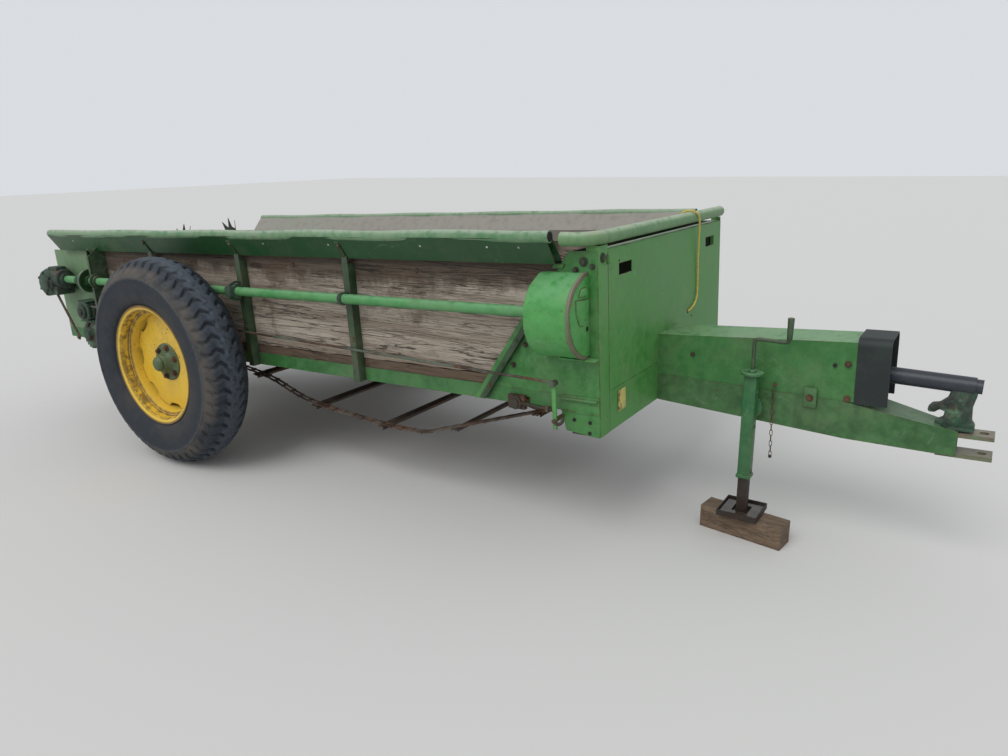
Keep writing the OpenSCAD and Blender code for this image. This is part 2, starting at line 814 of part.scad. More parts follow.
module rim() {
  rotate_extrude($fn = 96)
    for (s = [-1, 1])
      scale([1, s]) {
        translate([bead_r, rim_w / 2 - rim_t]) square([flange_h, rim_t]);
        translate([bead_r - rim_t, 50]) square([rim_t, rim_w / 2 - 50]);
        translate([bead_r - well_h, 50]) square([well_h, rim_t]);
        translate([bead_r - well_h - rim_t, 0]) square([rim_t, 50 + rim_t]);
      }
  difference() {
    translate([0, 0, -rim_t / 2]) cylinder(h = rim_t, r = bead_r - well_h - rim_t / 2);
    translate([0, 0, -rim_t]) cylinder(h = 2 * rim_t, r = hub_r + seat);
    for (i = [0:bolts - 1])
      rotate(i * 360 / bolts) translate([bolt_circle_r, 0, -rim_t]) cylinder(h = 2 * rim_t, d = 17);
  }
}

module hub()
  difference() {
    union() {
      translate([0, 0, -55]) cylinder(h = 55 + hub_reach - 22, r = hub_r);
      translate([0, 0, rim_t / 2]) cylinder(h = 9, r = hub_flange_r);
      translate([0, 0, hub_reach - 22]) cylinder(h = 22, r = hub_r - 8);
    }
    translate([0, 0, -60]) cylinder(h = 60 + 41, d = spindle_d + 2 * run);
  }

module wheel_place(s)
  translate([shift_x, s * wheel_y, axle_z]) rotate([-90 * s, 0, 0]) children();

module tyre_left() color(black) wheel_place(1) tyre();
module rim_left() color(yellow) wheel_place(1) rim();
module hub_left() color(green) wheel_place(1) hub();
module tyre_right() color(black) wheel_place(-1) tyre();
module rim_right() color(yellow) wheel_place(-1) rim();
module hub_right() color(green) wheel_place(-1) hub();

// moving drive pieces
beater_len = 2 * (box_y - 5 - 12);
module paddle()
  along_y(-paddle_w / 2, paddle_w / 2)
    translate([beater_d / 2 - 4, -paddle_t / 2]) square([beater_r - beater_d / 2 + 4, paddle_t]);
module beater() color(rust) translate([shift_x + parked_x(beater_x, beater_z), 0,
  parked_z(beater_x, beater_z)]) {
  rotate([90, 0, 0]) cylinder(h = beater_len, d = beater_d, center = true);
  translate([0, -box_y - beater_stub, 0]) rotate([-90, 0, 0])
    cylinder(h = 2 * box_y + beater_stub + 40, d = beater_shaft_d);
  for (i = [0:paddles - 1])
    translate([0, (i + 0.5 - paddles / 2) * (beater_len - 20) / paddles, 0])
      rotate([0, 180 - i * paddle_step, 0]) paddle();
}

module side_shaft() color(green) parked() right_side()
  translate([shaft_rear, shaft_y, shaft_z]) rotate([0, 90, 0])
    cylinder(h = case_x[0] + 25 - shaft_rear, d = shaft_d);

module input_shaft() color(black) parked() input_line() {
  translate([0, 0, 20]) cylinder(h = (input_front - panel_x) / cos(input_slope) - 40, d = input_d);
  translate([0, 0, -105]) cylinder(h = 130, d = input_d - 18);
  translate([0, 0, (input_front - panel_x) / cos(input_slope) - 20]) cylinder(h = 20, d = input_d - 10);
}

sill_left();
sill_right();
cross_members();
axle();
floor_boards();
side_boards_left();
side_boards_right();
stakes_left();
stakes_right();
rail_left();
rail_right();
front_rail();
front_panel();
front_wall();
side_panel_left();
side_panel_right();
front_gusset_right();
chain_guard();
drive_case();
rear_plate_left();
rear_plate_right();
shaft_bearings();
bevel_gearbox();
apron();
apron_shafts();
ratchet_drive();
feed_control();
tongue();
hitch();
input_shield();
rubber_boot();
shaft_rest();
jack_tube();
jack_crank();
wood_block();
tyre_left();
rim_left();
hub_left();
tyre_right();
rim_right();
hub_right();
beater();
side_shaft();
input_shaft();
jack_leg();
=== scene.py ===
"""Looks of the manure spreader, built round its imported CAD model."""

import math

import bmesh
import bpy
from mathutils import Matrix, Vector

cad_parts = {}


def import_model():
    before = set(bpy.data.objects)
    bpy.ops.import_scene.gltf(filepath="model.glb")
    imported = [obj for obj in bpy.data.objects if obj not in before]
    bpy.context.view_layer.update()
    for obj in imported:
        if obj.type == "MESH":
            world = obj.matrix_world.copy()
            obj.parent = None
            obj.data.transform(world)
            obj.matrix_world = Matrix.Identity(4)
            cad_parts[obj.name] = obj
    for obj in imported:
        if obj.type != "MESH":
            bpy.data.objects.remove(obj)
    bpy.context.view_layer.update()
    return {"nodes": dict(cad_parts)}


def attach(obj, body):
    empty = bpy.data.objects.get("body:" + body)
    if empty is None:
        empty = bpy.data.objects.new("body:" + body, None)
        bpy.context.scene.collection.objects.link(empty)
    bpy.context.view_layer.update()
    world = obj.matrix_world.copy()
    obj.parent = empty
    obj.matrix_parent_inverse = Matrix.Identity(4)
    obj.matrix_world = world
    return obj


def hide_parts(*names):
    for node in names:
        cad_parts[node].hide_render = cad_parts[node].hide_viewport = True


# Camera, in the row frame
CAMERA_AT = (2.350, -2.790, 1.414)
CAMERA_HEADING = 34.02
CAMERA_PITCH = 16.73
CAMERA_ROLL = -1.28
SENSOR = 36.0
FOCAL_PIXELS = 740.0
PHOTO_WIDTH = 1008.0

# Where the machine stands in the row frame
AXLE_X = -0.9099
AXLE_Z = 0.5
PARK_TILT = math.radians(2.0)
TYRE_R = 0.5
WHEEL_Y = 0.835
LEFT_DROP = 0.023
SHAFT_Y = -0.690
SHAFT_Z = 0.835


def parked(x, y, z):
    """A point of the level machine, as it stands parked."""
    c, s = math.cos(PARK_TILT), math.sin(PARK_TILT)
    return Vector((AXLE_X + x * c - (z - AXLE_Z) * s, y, AXLE_Z + x * s + (z - AXLE_Z) * c))


# Shader sums in Python

class Value:
    """A shader socket that takes part in sums written in Python."""

    def __init__(self, finish, socket):
        self.finish = finish
        self.socket = socket

    def sum(self, operation, *values):
        return self.finish.node("ShaderNodeMath", {"operation": operation}, dict(enumerate(values)))

    def __add__(self, other):
        return self.sum("ADD", self, other)

    def __radd__(self, other):
        return self.sum("ADD", other, self)

    def __sub__(self, other):
        return self.sum("SUBTRACT", self, other)

    def __rsub__(self, other):
        return self.sum("SUBTRACT", other, self)

    def __mul__(self, other):
        return self.sum("MULTIPLY", self, other)

    def __rmul__(self, other):
        return self.sum("MULTIPLY", other, self)

    def __abs__(self):
        return self.sum("ABSOLUTE", self)


class Finish:
    """The node tree of one material."""

    def __init__(self, name):
        self.material = bpy.data.materials.new(name)
        self.material.use_nodes = True
        self.tree = self.material.node_tree
        self.tree.nodes.clear()

    def node(self, kind, settings=None, sockets=None, output=0):
        """Adds a node with its settings first, then the values or links of its sockets."""
        node = self.tree.nodes.new(kind)
        for name, value in (settings or {}).items():
            if name == "stops":
                self.set_stops(node.color_ramp, value)
            else:
                setattr(node, name, value)
        for key, value in (sockets or {}).items():
            socket = node.inputs[key]
            if isinstance(value, Value):
                self.tree.links.new(value.socket, socket)
            elif socket.type == "RGBA" and len(value) == 3:
                socket.default_value = (*value, 1.0)
            else:
                socket.default_value = value
        return Value(self, node.outputs[output])

    @staticmethod
    def set_stops(ramp, stops):
        while len(ramp.elements) < len(stops):
            ramp.elements.new(0.5)
        for element, (place, colour) in zip(ramp.elements, stops):
            element.position = place
            element.color = (*colour, 1.0)

    def place(self, stretch=(1, 1, 1), shift=(0, 0, 0), turn=(0, 0, 0)):
        """Object coordinates, stretched for grain and streaks."""
        here = self.node("ShaderNodeTexCoord", output="Object")
        sockets = {"Vector": here, "Scale": stretch, "Location": shift, "Rotation": turn}
        return self.node("ShaderNodeMapping", None, sockets)

    def noise(self, scale, detail=4.0, roughness=0.55, warp=0.0, **where):
        sockets = {
            "Vector": self.place(**where),
            "Scale": scale,
            "Detail": detail,
            "Roughness": roughness,
            "Distortion": warp,
        }
        return self.node("ShaderNodeTexNoise", None, sockets)

    def cells(self, scale, **where):
        sockets = {"Vector": self.place(**where), "Scale": scale}
        return self.node("ShaderNodeTexVoronoi", None, sockets)

    def step(self, value, low, high):
        """0 below low, 1 above high, and smooth between."""
        sockets = {"Value": value, "From Min": low, "From Max": high}
        return self.node("ShaderNodeMapRange", {"interpolation_type": "SMOOTHSTEP"}, sockets)

    def mix(self, mask, under, over):
        return self.node("ShaderNodeMix", {"data_type": "RGBA"}, {0: mask, 6: under, 7: over}, 2)

    def axis(self, name, vector):
        return self.node("ShaderNodeSeparateXYZ", None, {"Vector": vector}, name)

    def larger(self, first, second):
        settings = {"operation": "MAXIMUM", "use_clamp": True}
        return self.node("ShaderNodeMath", settings, {0: first, 1: second})

    def edges(self, radius):
        """1 along the sharp edges of a piece, 0 on its flats."""
        rounded = self.node("ShaderNodeBevel", {"samples": 4}, {"Radius": radius})
        flat = self.node("ShaderNodeNewGeometry", output="Normal")
        same = self.node(
            "ShaderNodeVectorMath", {"operation": "DOT_PRODUCT"}, {0: rounded, 1: flat}, "Value"
        )
        return self.step(same, 0.995, 0.90)

    def wheel_radius(self):
        """Distance from the axis that the wheels turn round."""
        here = self.node("ShaderNodeTexCoord", output="Object")
        x, z = self.axis("X", here) - AXLE_X, self.axis("Z", here) - TYRE_R
        return self.node("ShaderNodeMath", {"operation": "SQRT"}, {0: x * x + z * z})

    def level(self):
        """Height above the wheels' ground on the level machine."""
        here = self.node("ShaderNodeTexCoord", output="Object")
        c, s = math.cos(PARK_TILT), math.sin(PARK_TILT)
        return (self.axis("Z", here) - AXLE_Z) * c - (self.axis("X", here) - AXLE_X) * s + AXLE_Z

    def upward(self):
        """1 on faces that look up."""
        normal = self.node("ShaderNodeNewGeometry", output="Normal")
        return self.step(self.axis("Z", normal), 0.3, 0.95)

    def surface(self, colour, roughness, height=None, depth=0.001, **constants):
        sockets = {"Base Color": colour, "Roughness": roughness}
        for name, value in constants.items():
            sockets[name.replace("_", " ").title()] = value
        if height is not None:
            sockets["Normal"] = self.node(
                "ShaderNodeBump", None, {"Height": height, "Strength": 1.0, "Distance": depth}
            )
        shader = self.node("ShaderNodeBsdfPrincipled", None, sockets)
        out = self.tree.nodes.new("ShaderNodeOutputMaterial")
        self.tree.links.new(shader.socket, out.inputs["Surface"])
        return self.material


# Finishes. Colours are linear, as a render shows them.

RUST_BROWN = (0.105, 0.045, 0.022)
RUST_DARK = (0.035, 0.020, 0.013)
RUST_ORANGE = (0.200, 0.080, 0.030)
DUST = (0.260, 0.210, 0.165)
RIM_YELLOW = (0.720, 0.470, 0.040)
RIM_SHADE = (0.560, 0.360, 0.040)
WOOD_GREY = (0.235, 0.186, 0.142)
WOOD_PALE = (0.440, 0.380, 0.312)
WOOD_BROWN = (0.115, 0.072, 0.044)
WOOD_CRACK = (0.022, 0.014, 0.009)


def rust_coat(f, scale=9.0):
    """Colour of rust: brown, with dark and orange patches."""
    patches = f.noise(scale, 6.0, 0.65)
    coat = f.mix(f.step(patches, 0.42, 0.62), RUST_DARK, RUST_BROWN)
    return f.mix(f.step(f.noise(scale * 2.7, 4.0, 0.6), 0.58, 0.74), coat, RUST_ORANGE)


def old_paint(name, fresh, faded, fade=0.5, rust=0.4, grime=0.4, pale=None, chips=0.5, wear=0.004,
              worn=RUST_BROWN, ring=None):
    """Paint that has faded in patches, chipped and rusted at its edges, with dirt run down it, and a painted
    sky sheen on the faces that look up.
    """
    f = Finish(name)
    clouds = f.noise(1.2, 8.0, 0.66)
    fine = f.noise(26.0, 7.0, 0.66)
    fade_mask = f.step(clouds * 0.55 + fine * 0.45, 0.56 - 0.25 * fade, 0.74 - 0.25 * fade)
    colour = f.mix(fade_mask * 0.85, fresh, faded)
    lines = 1.0 - abs(f.noise(2.6, 3.0, 0.5, warp=1.2, shift=(7, 1, 3)) * 2.0 - 1.0)
    scratch = f.step(lines, 0.9915, 0.9985) * f.step(fine, 0.46, 0.60)
    colour = f.mix(scratch * 0.55, colour, tuple(min(c * 0.6 + 0.11, 0.6) for c in faded))
    # Painted sky sheen: faces that look up get the pale colour, as if lit by the overcast sky.
    if pale:
        colour = f.mix(f.upward() * f.step(fine, 0.28, 0.55), colour, pale)
    runs = f.noise(3.0, 6.0, 0.6, stretch=(5.0, 5.0, 0.7))
    run_mask = f.step(runs, 0.64 - 0.2 * grime, 0.80 - 0.12 * grime)
    colour = f.mix(run_mask * 0.45 * grime, colour, tuple(c * 0.35 for c in fresh))
    specks = f.step(f.noise(70.0, 3.0, 0.7), 0.62, 0.69) * f.step(clouds, 0.42, 0.58)
    patch = f.step(f.noise(6.5, 10.0, 0.72, warp=0.4), 0.74 - 0.16 * rust, 0.78 - 0.16 * rust)
    edge_chips = f.step(f.noise(11.0, 6.0, 0.65), 0.56 - 0.2 * chips, 0.66 - 0.2 * chips)
    edge = f.edges(wear) * edge_chips
    bare = f.larger(patch + specks * chips, edge)
    if ring:
        radius = f.wheel_radius()
        flange = f.step(radius + clouds * 0.010, ring, ring + 0.008)
        seam = f.step(radius + fine * 0.010, 0.245, 0.252) * (1.0 - f.step(radius, 0.262, 0.272))
        soiled = flange * 0.9 + seam * f.step(fine, 0.42, 0.60) * 0.8
        bare = f.larger(bare, soiled)
    coat = f.mix(f.step(f.noise(30.0, 4.0), 0.40, 0.65), worn, rust_coat(f))
    colour = f.mix(bare * 0.9, colour, coat)
    dust_mask = f.step(f.noise(5.0, 6.0, 0.6), 0.45, 0.75) * 0.16
    colour = f.mix(dust_mask, colour, DUST)
    rough = 0.42 + fade_mask * 0.18 + bare * 0.30
    height = fine * 0.35 - bare * 0.8 + f.noise(1.7, 2.0) * 3.0
    return f.surface(colour, rough, height, 0.0012)


def rusty_steel(name, dark=0.0, dust=0.2, shine=0.0, tint=None):
    f = Finish(name)
    colour = rust_coat(f, 12.0)
    colour = f.mix(f.step(f.noise(4.0, 6.0), 0.62 - dark, 0.80 - dark), colour, RUST_DARK)
    if tint:
        colour = f.mix(f.step(f.noise(8.0, 7.0, 0.65, shift=(5, 2, 3)), 0.40, 0.62) * 0.85, colour, tint)
    colour = f.mix(f.step(f.noise(20.0, 5.0), 0.50, 0.80) * dust, colour, DUST)
    grain = f.noise(90.0, 4.0, 0.7)
    return f.surface(colour, 0.72 - grain * 0.1, grain + f.noise(14.0, 4.0), 0.0012, metallic=shine)


def cast_iron(name):
    """Old green paint under grease and dust."""
    f = Finish(name)
    grain = f.noise(70.0, 5.0, 0.7)
    blots = f.noise(7.0, 7.0, 0.65)
    colour = f.mix(f.step(blots, 0.42, 0.62), (0.014, 0.022, 0.017), (0.030, 0.085, 0.045))
    colour = f.mix(f.step(f.noise(10.0, 7.0, 0.65), 0.54, 0.70), colour, (0.110, 0.210, 0.120))
    colour = f.mix(f.step(f.noise(9.0, 7.0, 0.7, shift=(3, 1, 2)), 0.58, 0.68), colour, RUST_BROWN)
    colour = f.mix(f.step(grain, 0.45, 0.80) * 0.3, colour, DUST)
    return f.surface(colour, 0.50 + grain * 0.3, grain + blots * 2.0, 0.0020)


def rubber(name, base=(0.013, 0.016, 0.021), dust=0.2, shine=0.0, soil=DUST):
    f = Finish(name)
    soil_mask = f.noise(9.0, 7.0, 0.65)
    fine = f.noise(45.0, 5.0, 0.65)
    colour = f.mix(f.step(soil_mask * 0.6 + fine * 0.4, 0.40, 0.72) * dust, base, soil)
    return f.surface(colour, 0.72 - shine + fine * 0.1, f.noise(160.0, 3.0) + fine, 0.0006)


def tyre_rubber(name):
    """Black walls with faint rings and brown dust, and a bluer worn tread."""
    f = Finish(name)
    radius = f.wheel_radius()
    fine = f.noise(45.0, 6.0, 0.65)
    blots = f.noise(6.0, 7.0, 0.65)
    colour = f.mix(f.step(fine, 0.35, 0.70), (0.008, 0.012, 0.018), (0.016, 0.022, 0.031))
    tread = f.step(radius, 0.425, 0.478)
    colour = f.mix(tread * f.step(fine, 0.30, 0.62), colour, (0.024, 0.033, 0.045))
    ground = f.step(radius, 0.4865, 0.4945) * f.step(fine, 0.30, 0.56)
    colour = f.mix(ground, colour, (0.052, 0.066, 0.085))
    shoulder = f.step(radius, 0.405, 0.430) * (1.0 - f.step(radius, 0.450, 0.480))
    colour = f.mix(shoulder * f.step(blots, 0.34, 0.58) * 0.60, colour, (0.120, 0.100, 0.078))
    ridge = f.step(radius, 0.409, 0.415) * (1.0 - f.step(radius, 0.421, 0.427))
    colour = f.mix(ridge * f.step(fine, 0.35, 0.60) * 0.55, colour, (0.060, 0.066, 0.074))
    wall = 1.0 - f.step(radius, 0.30, 0.42)
    colour = f.mix(wall * f.step(blots, 0.42, 0.66) * 0.30, colour, (0.075, 0.062, 0.048))
    rings = f.node("ShaderNodeMath", {"operation": "SINE"}, {0: radius * 900.0})
    height = fine * 0.6 + rings * (1.0 - tread) * 0.35 + f.noise(180.0, 3.0) * 0.4
    return f.surface(colour, 0.66 + fine * 0.12, height, 0.0007)


def weathered_wood(name, along="X", brown=0.35, split=1.0, stains_and_rail_shade=True, grey=WOOD_GREY, pale=WOOD_PALE):
    """Bare boards gone grey, with dark cracks along the grain, knots, and a dark band along the top that is
    partly stain from the rail above and partly painted shade from its skirt.
    """
    f = Finish(name)
    length, across = 0.28, 7.0
    stretch = {"X": (length, across, across), "Y": (across, length, across)}[along]
    grain = f.noise(3.6, 9.0, 0.66, warp=0.12, stretch=stretch)
    fibres = f.noise(14.0, 7.0, 0.7, warp=0.08, stretch=stretch)
    hairs = f.noise(44.0, 5.0, 0.7, stretch=stretch)
    board = f.noise(1.6, 3.0, 0.5, stretch=(0.5, 1.0, 3.2))
    colour = f.mix(f.step(grain, 0.36, 0.64), grey, pale)
    colour = f.mix(f.step(fibres, 0.50, 0.72) * 0.38, colour, WOOD_BROWN)
    colour = f.mix(f.step(hairs, 0.55, 0.75) * 0.30, colour, pale)
    colour = f.mix(f.step(board, 0.66 - 0.4 * brown, 0.90 - 0.4 * brown) * 0.60, colour, WOOD_BROWN)
    if stains_and_rail_shade:
        height = f.level()
        blots = f.noise(5.0, 8.0, 0.68, stretch=(1.0, 1.0, 0.6), shift=(4, 0, 2))
        # Dark band under the rail: partly stains run down from it, partly painted shade cast by the rail's
        # skirt.
        rail_stain_and_shade = f.step(height + blots * 0.26, 0.985, 1.070)
        colour = f.mix(rail_stain_and_shade * 0.85, colour, (0.046, 0.028, 0.017))
        foot = 1.0 - f.step(height + blots * 0.10, 0.600, 0.660)
        colour = f.mix(foot * 0.55, colour, (0.105, 0.070, 0.046))
        patch = f.step(f.noise(2.2, 8.0, 0.7, shift=(1, 3, 4)), 0.56, 0.64)
        colour = f.mix(patch * 0.55, colour, (0.085, 0.052, 0.032))
    knots = f.cells(2.6, stretch=(0.62, 1.0, 1.9), shift=(0.3, 0, 0.2))
    knot = 1.0 - f.step(knots + f.noise(12.0, 4.0) * 0.05, 0.075, 0.120)
    colour = f.mix(knot * 0.85, colour, (0.038, 0.020, 0.012))
    ridge = 1.0 - abs(f.noise(3.1, 5.0, 0.55, warp=0.5, stretch=stretch, shift=(2, 5, 1)) * 2.0 - 1.0)
    crack = f.step(ridge, 0.978, 0.997) * f.step(board, 0.38, 0.58) * split * 0.9
    hair = f.step(1.0 - abs(fibres * 2.0 - 1.0), 0.975, 0.998) * 0.28
    dark = f.larger(crack, hair)
    colour = f.mix(dark, colour, WOOD_CRACK)
    relief = fibres * 0.6 + grain * 0.6 + hairs * 0.3 - dark * 1.6 - knot * 0.6
    return f.surface(colour, 0.88, relief, 0.0026)


def standing_water(name):
    f = Finish(name)
    mud = f.noise(22.0, 6.0, 0.65)
    colour = f.mix(f.step(mud, 0.40, 0.62), (0.022, 0.016, 0.012), (0.060, 0.045, 0.032))
    return f.surface(colour, 0.08 + mud * 0.15, mud, 0.0008)


def make_looks():
    """Every finish by the name that the pieces ask for."""
    return {
        # The pale colour given to each old_paint below is a painted sky sheen on its faces that look up.
        "panel": old_paint("panel_green", (0.038, 0.192, 0.028), (0.082, 0.262, 0.062), fade=0.75, rust=0.30,
                           grime=0.30, pale=(0.30, 0.38, 0.25), chips=0.55),
        "green": old_paint("sheet_green", (0.024, 0.140, 0.024), (0.070, 0.225, 0.062), fade=0.6, rust=0.45,
                           grime=0.5, pale=(0.150, 0.290, 0.140)),
        "plate": old_paint("plate_green", (0.050, 0.130, 0.050), (0.160, 0.260, 0.135), fade=0.9, rust=0.40,
                           pale=(0.22, 0.32, 0.20)),
        "guard": old_paint("guard_green", (0.034, 0.235, 0.040), (0.080, 0.315, 0.080), fade=0.7, rust=0.25,
                           grime=0.3, chips=0.8, wear=0.006, pale=(0.12, 0.34, 0.13)),
        "edge": old_paint("edge_brown", (0.150, 0.115, 0.080), (0.110, 0.190, 0.085), fade=0.5, rust=0.5,
                          grime=0.3, chips=0.8, pale=(0.20, 0.18, 0.13)),
        "worn": old_paint("skirt_green", (0.012, 0.066, 0.020), (0.030, 0.125, 0.036), fade=0.40, rust=0.35,
                          grime=0.35, pale=(0.140, 0.200, 0.125), chips=0.5),
        "rail": old_paint("rail_green", (0.070, 0.190, 0.078), (0.190, 0.290, 0.175), fade=0.80, rust=0.34,
                          grime=0.25, pale=(0.300, 0.370, 0.270), chips=0.6),
        "flare": old_paint("flare_brown", (0.215, 0.195, 0.165), (0.120, 0.230, 0.120), fade=0.30, rust=0.50,
                           grime=0.3, pale=(0.300, 0.285, 0.245), chips=0.7),
        "bar": old_paint("bar_green", (0.060, 0.180, 0.056), (0.150, 0.280, 0.125), fade=0.8, rust=0.35,
                         grime=0.2, pale=(0.330, 0.410, 0.280), chips=0.6),
        "grimy": old_paint("frame_green", (0.020, 0.052, 0.022), (0.050, 0.105, 0.044), fade=0.45, rust=0.60,
                           grime=0.7, pale=(0.100, 0.150, 0.080)),
        "sill": old_paint("sill_green", (0.024, 0.110, 0.026), (0.052, 0.185, 0.050), fade=0.65, rust=0.50,
                          grime=0.7, pale=(0.090, 0.180, 0.080)),
        "shaft": old_paint("shaft_green", (0.044, 0.215, 0.056), (0.095, 0.290, 0.104), fade=0.7, rust=0.25,
                           grime=0.3, pale=(0.14, 0.34, 0.15)),
        "jack": old_paint("jack_green", (0.010, 0.105, 0.028), (0.030, 0.160, 0.045), fade=0.5, rust=0.40,
                          grime=0.4, pale=(0.100, 0.250, 0.110)),
        "drawbar": old_paint("drawbar_green", (0.026, 0.096, 0.024), (0.066, 0.176, 0.054), fade=0.55,
                             rust=0.50, grime=0.8, pale=(0.095, 0.180, 0.085)),
        "shield": old_paint("shield_green", (0.026, 0.138, 0.028), (0.058, 0.200, 0.050), fade=0.5, rust=0.38,
                            grime=0.5, pale=(0.140, 0.290, 0.125)),
        "hub": old_paint("hub_green", (0.034, 0.078, 0.024), (0.070, 0.120, 0.046), fade=0.5, rust=0.45,
                         grime=0.4, pale=(0.10, 0.15, 0.08)),
        "yellow": old_paint("wheel_yellow", RIM_YELLOW, RIM_SHADE, fade=0.3, rust=0.26, chips=0.9, grime=0.10,
                            wear=0.007, worn=(0.090, 0.048, 0.030), ring=0.279),
        "label": old_paint("label_yellow", (0.560, 0.500, 0.110), (0.480, 0.450, 0.180), fade=0.5, rust=0.15,
                           grime=0.2, chips=0.4),
        "boards": weathered_wood("side_wood"),
        "dark_wood": weathered_wood("foot_wood", brown=1.2, grey=(0.130, 0.088, 0.058),
                                    pale=(0.200, 0.150, 0.108)),
        "floor": weathered_wood("floor_wood", brown=0.9, stains_and_rail_shade=False, grey=(0.120, 0.095, 0.072),
                                pale=(0.200, 0.170, 0.135)),
        "block": weathered_wood("block_wood", brown=0.5, split=0.4, stains_and_rail_shade=False, grey=(0.150, 0.100, 0.062),
                                pale=(0.290, 0.212, 0.145)),
        "steel": rusty_steel("rusty_steel"),
        "wall": rusty_steel("wall_steel", dark=0.20, dust=0.12, tint=(0.018, 0.040, 0.020)),
        "chain": rusty_steel("chain_steel", dark=0.10, dust=0.45, tint=(0.105, 0.088, 0.068)),
        "slat": rusty_steel("slat_steel", dark=0.15, dust=0.25, tint=(0.052, 0.045, 0.035)),
        "fitting": rusty_steel("fitting_steel", dark=0.22, dust=0.20, tint=(0.030, 0.060, 0.032)),
        "leg": rusty_steel("leg_steel", dark=0.28, dust=0.14, shine=0.3, tint=(0.034, 0.030, 0.026)),
        "bright": rusty_steel("bright_steel", dark=-0.5, dust=0.4, tint=(0.62, 0.62, 0.58)),
        "rod": rusty_steel("rod_steel", dark=0.10, dust=0.30, shine=0.2, tint=(0.100, 0.140, 0.100)),
        "blade": rusty_steel("blade_steel", dark=0.0, dust=0.35, shine=0.2, tint=(0.052, 0.115, 0.090)),
        "beater": rusty_steel("beater_steel", dark=0.08, dust=0.25),
        "iron": cast_iron("greasy_iron"),
        # Near-black for holes, the rail tube's open end and the box behind the hand hole: painted shade inside
        # them.
        "soot": rubber("painted_shade_black", (0.008, 0.008, 0.008), dust=0.05, soil=(0.05, 0.04, 0.03)),
        "black": rubber("black_paint", (0.020, 0.026, 0.036), dust=0.35, shine=0.35,
                        soil=(0.060, 0.056, 0.052)),
        "flap": rubber("rubber_sheet", (0.009, 0.014, 0.014), dust=0.30, shine=0.15,
                       soil=(0.030, 0.060, 0.042)),
        "tyre": tyre_rubber("tyre_rubber"),
        "water": standing_water("pan_water"),
    }


def dress_frame(nodes, looks):
    """Gives each CAD node that stays its finish."""
    finishes = {
        "plate": ["rear_plate_left", "rear_plate_right"],
        "grimy": ["axle"],
        "sill": ["sill_left", "sill_right"],
        "drawbar": ["tongue"],
        "edge": ["hitch"],
        "shield": ["input_shield"],
        "shaft": ["side_shaft"],
        "steel": ["apron_shafts", "cross_members"],
        "wall": ["front_wall"],
        "leg": ["jack_leg"],
        "floor": ["floor_boards"],
        "block": ["wood_block"],
        "flap": ["rubber_boot"],
        "black": ["input_shaft"],
        "iron": ["drive_case"],
    }
    chosen = {name: look for look, names in finishes.items() for name in names}
    for name, piece in nodes.items():
        piece.data.materials.clear()
        piece.data.materials.append(looks[chosen.get(name, "green")])


# Solids that pieces are put together from, in the level machine's frame

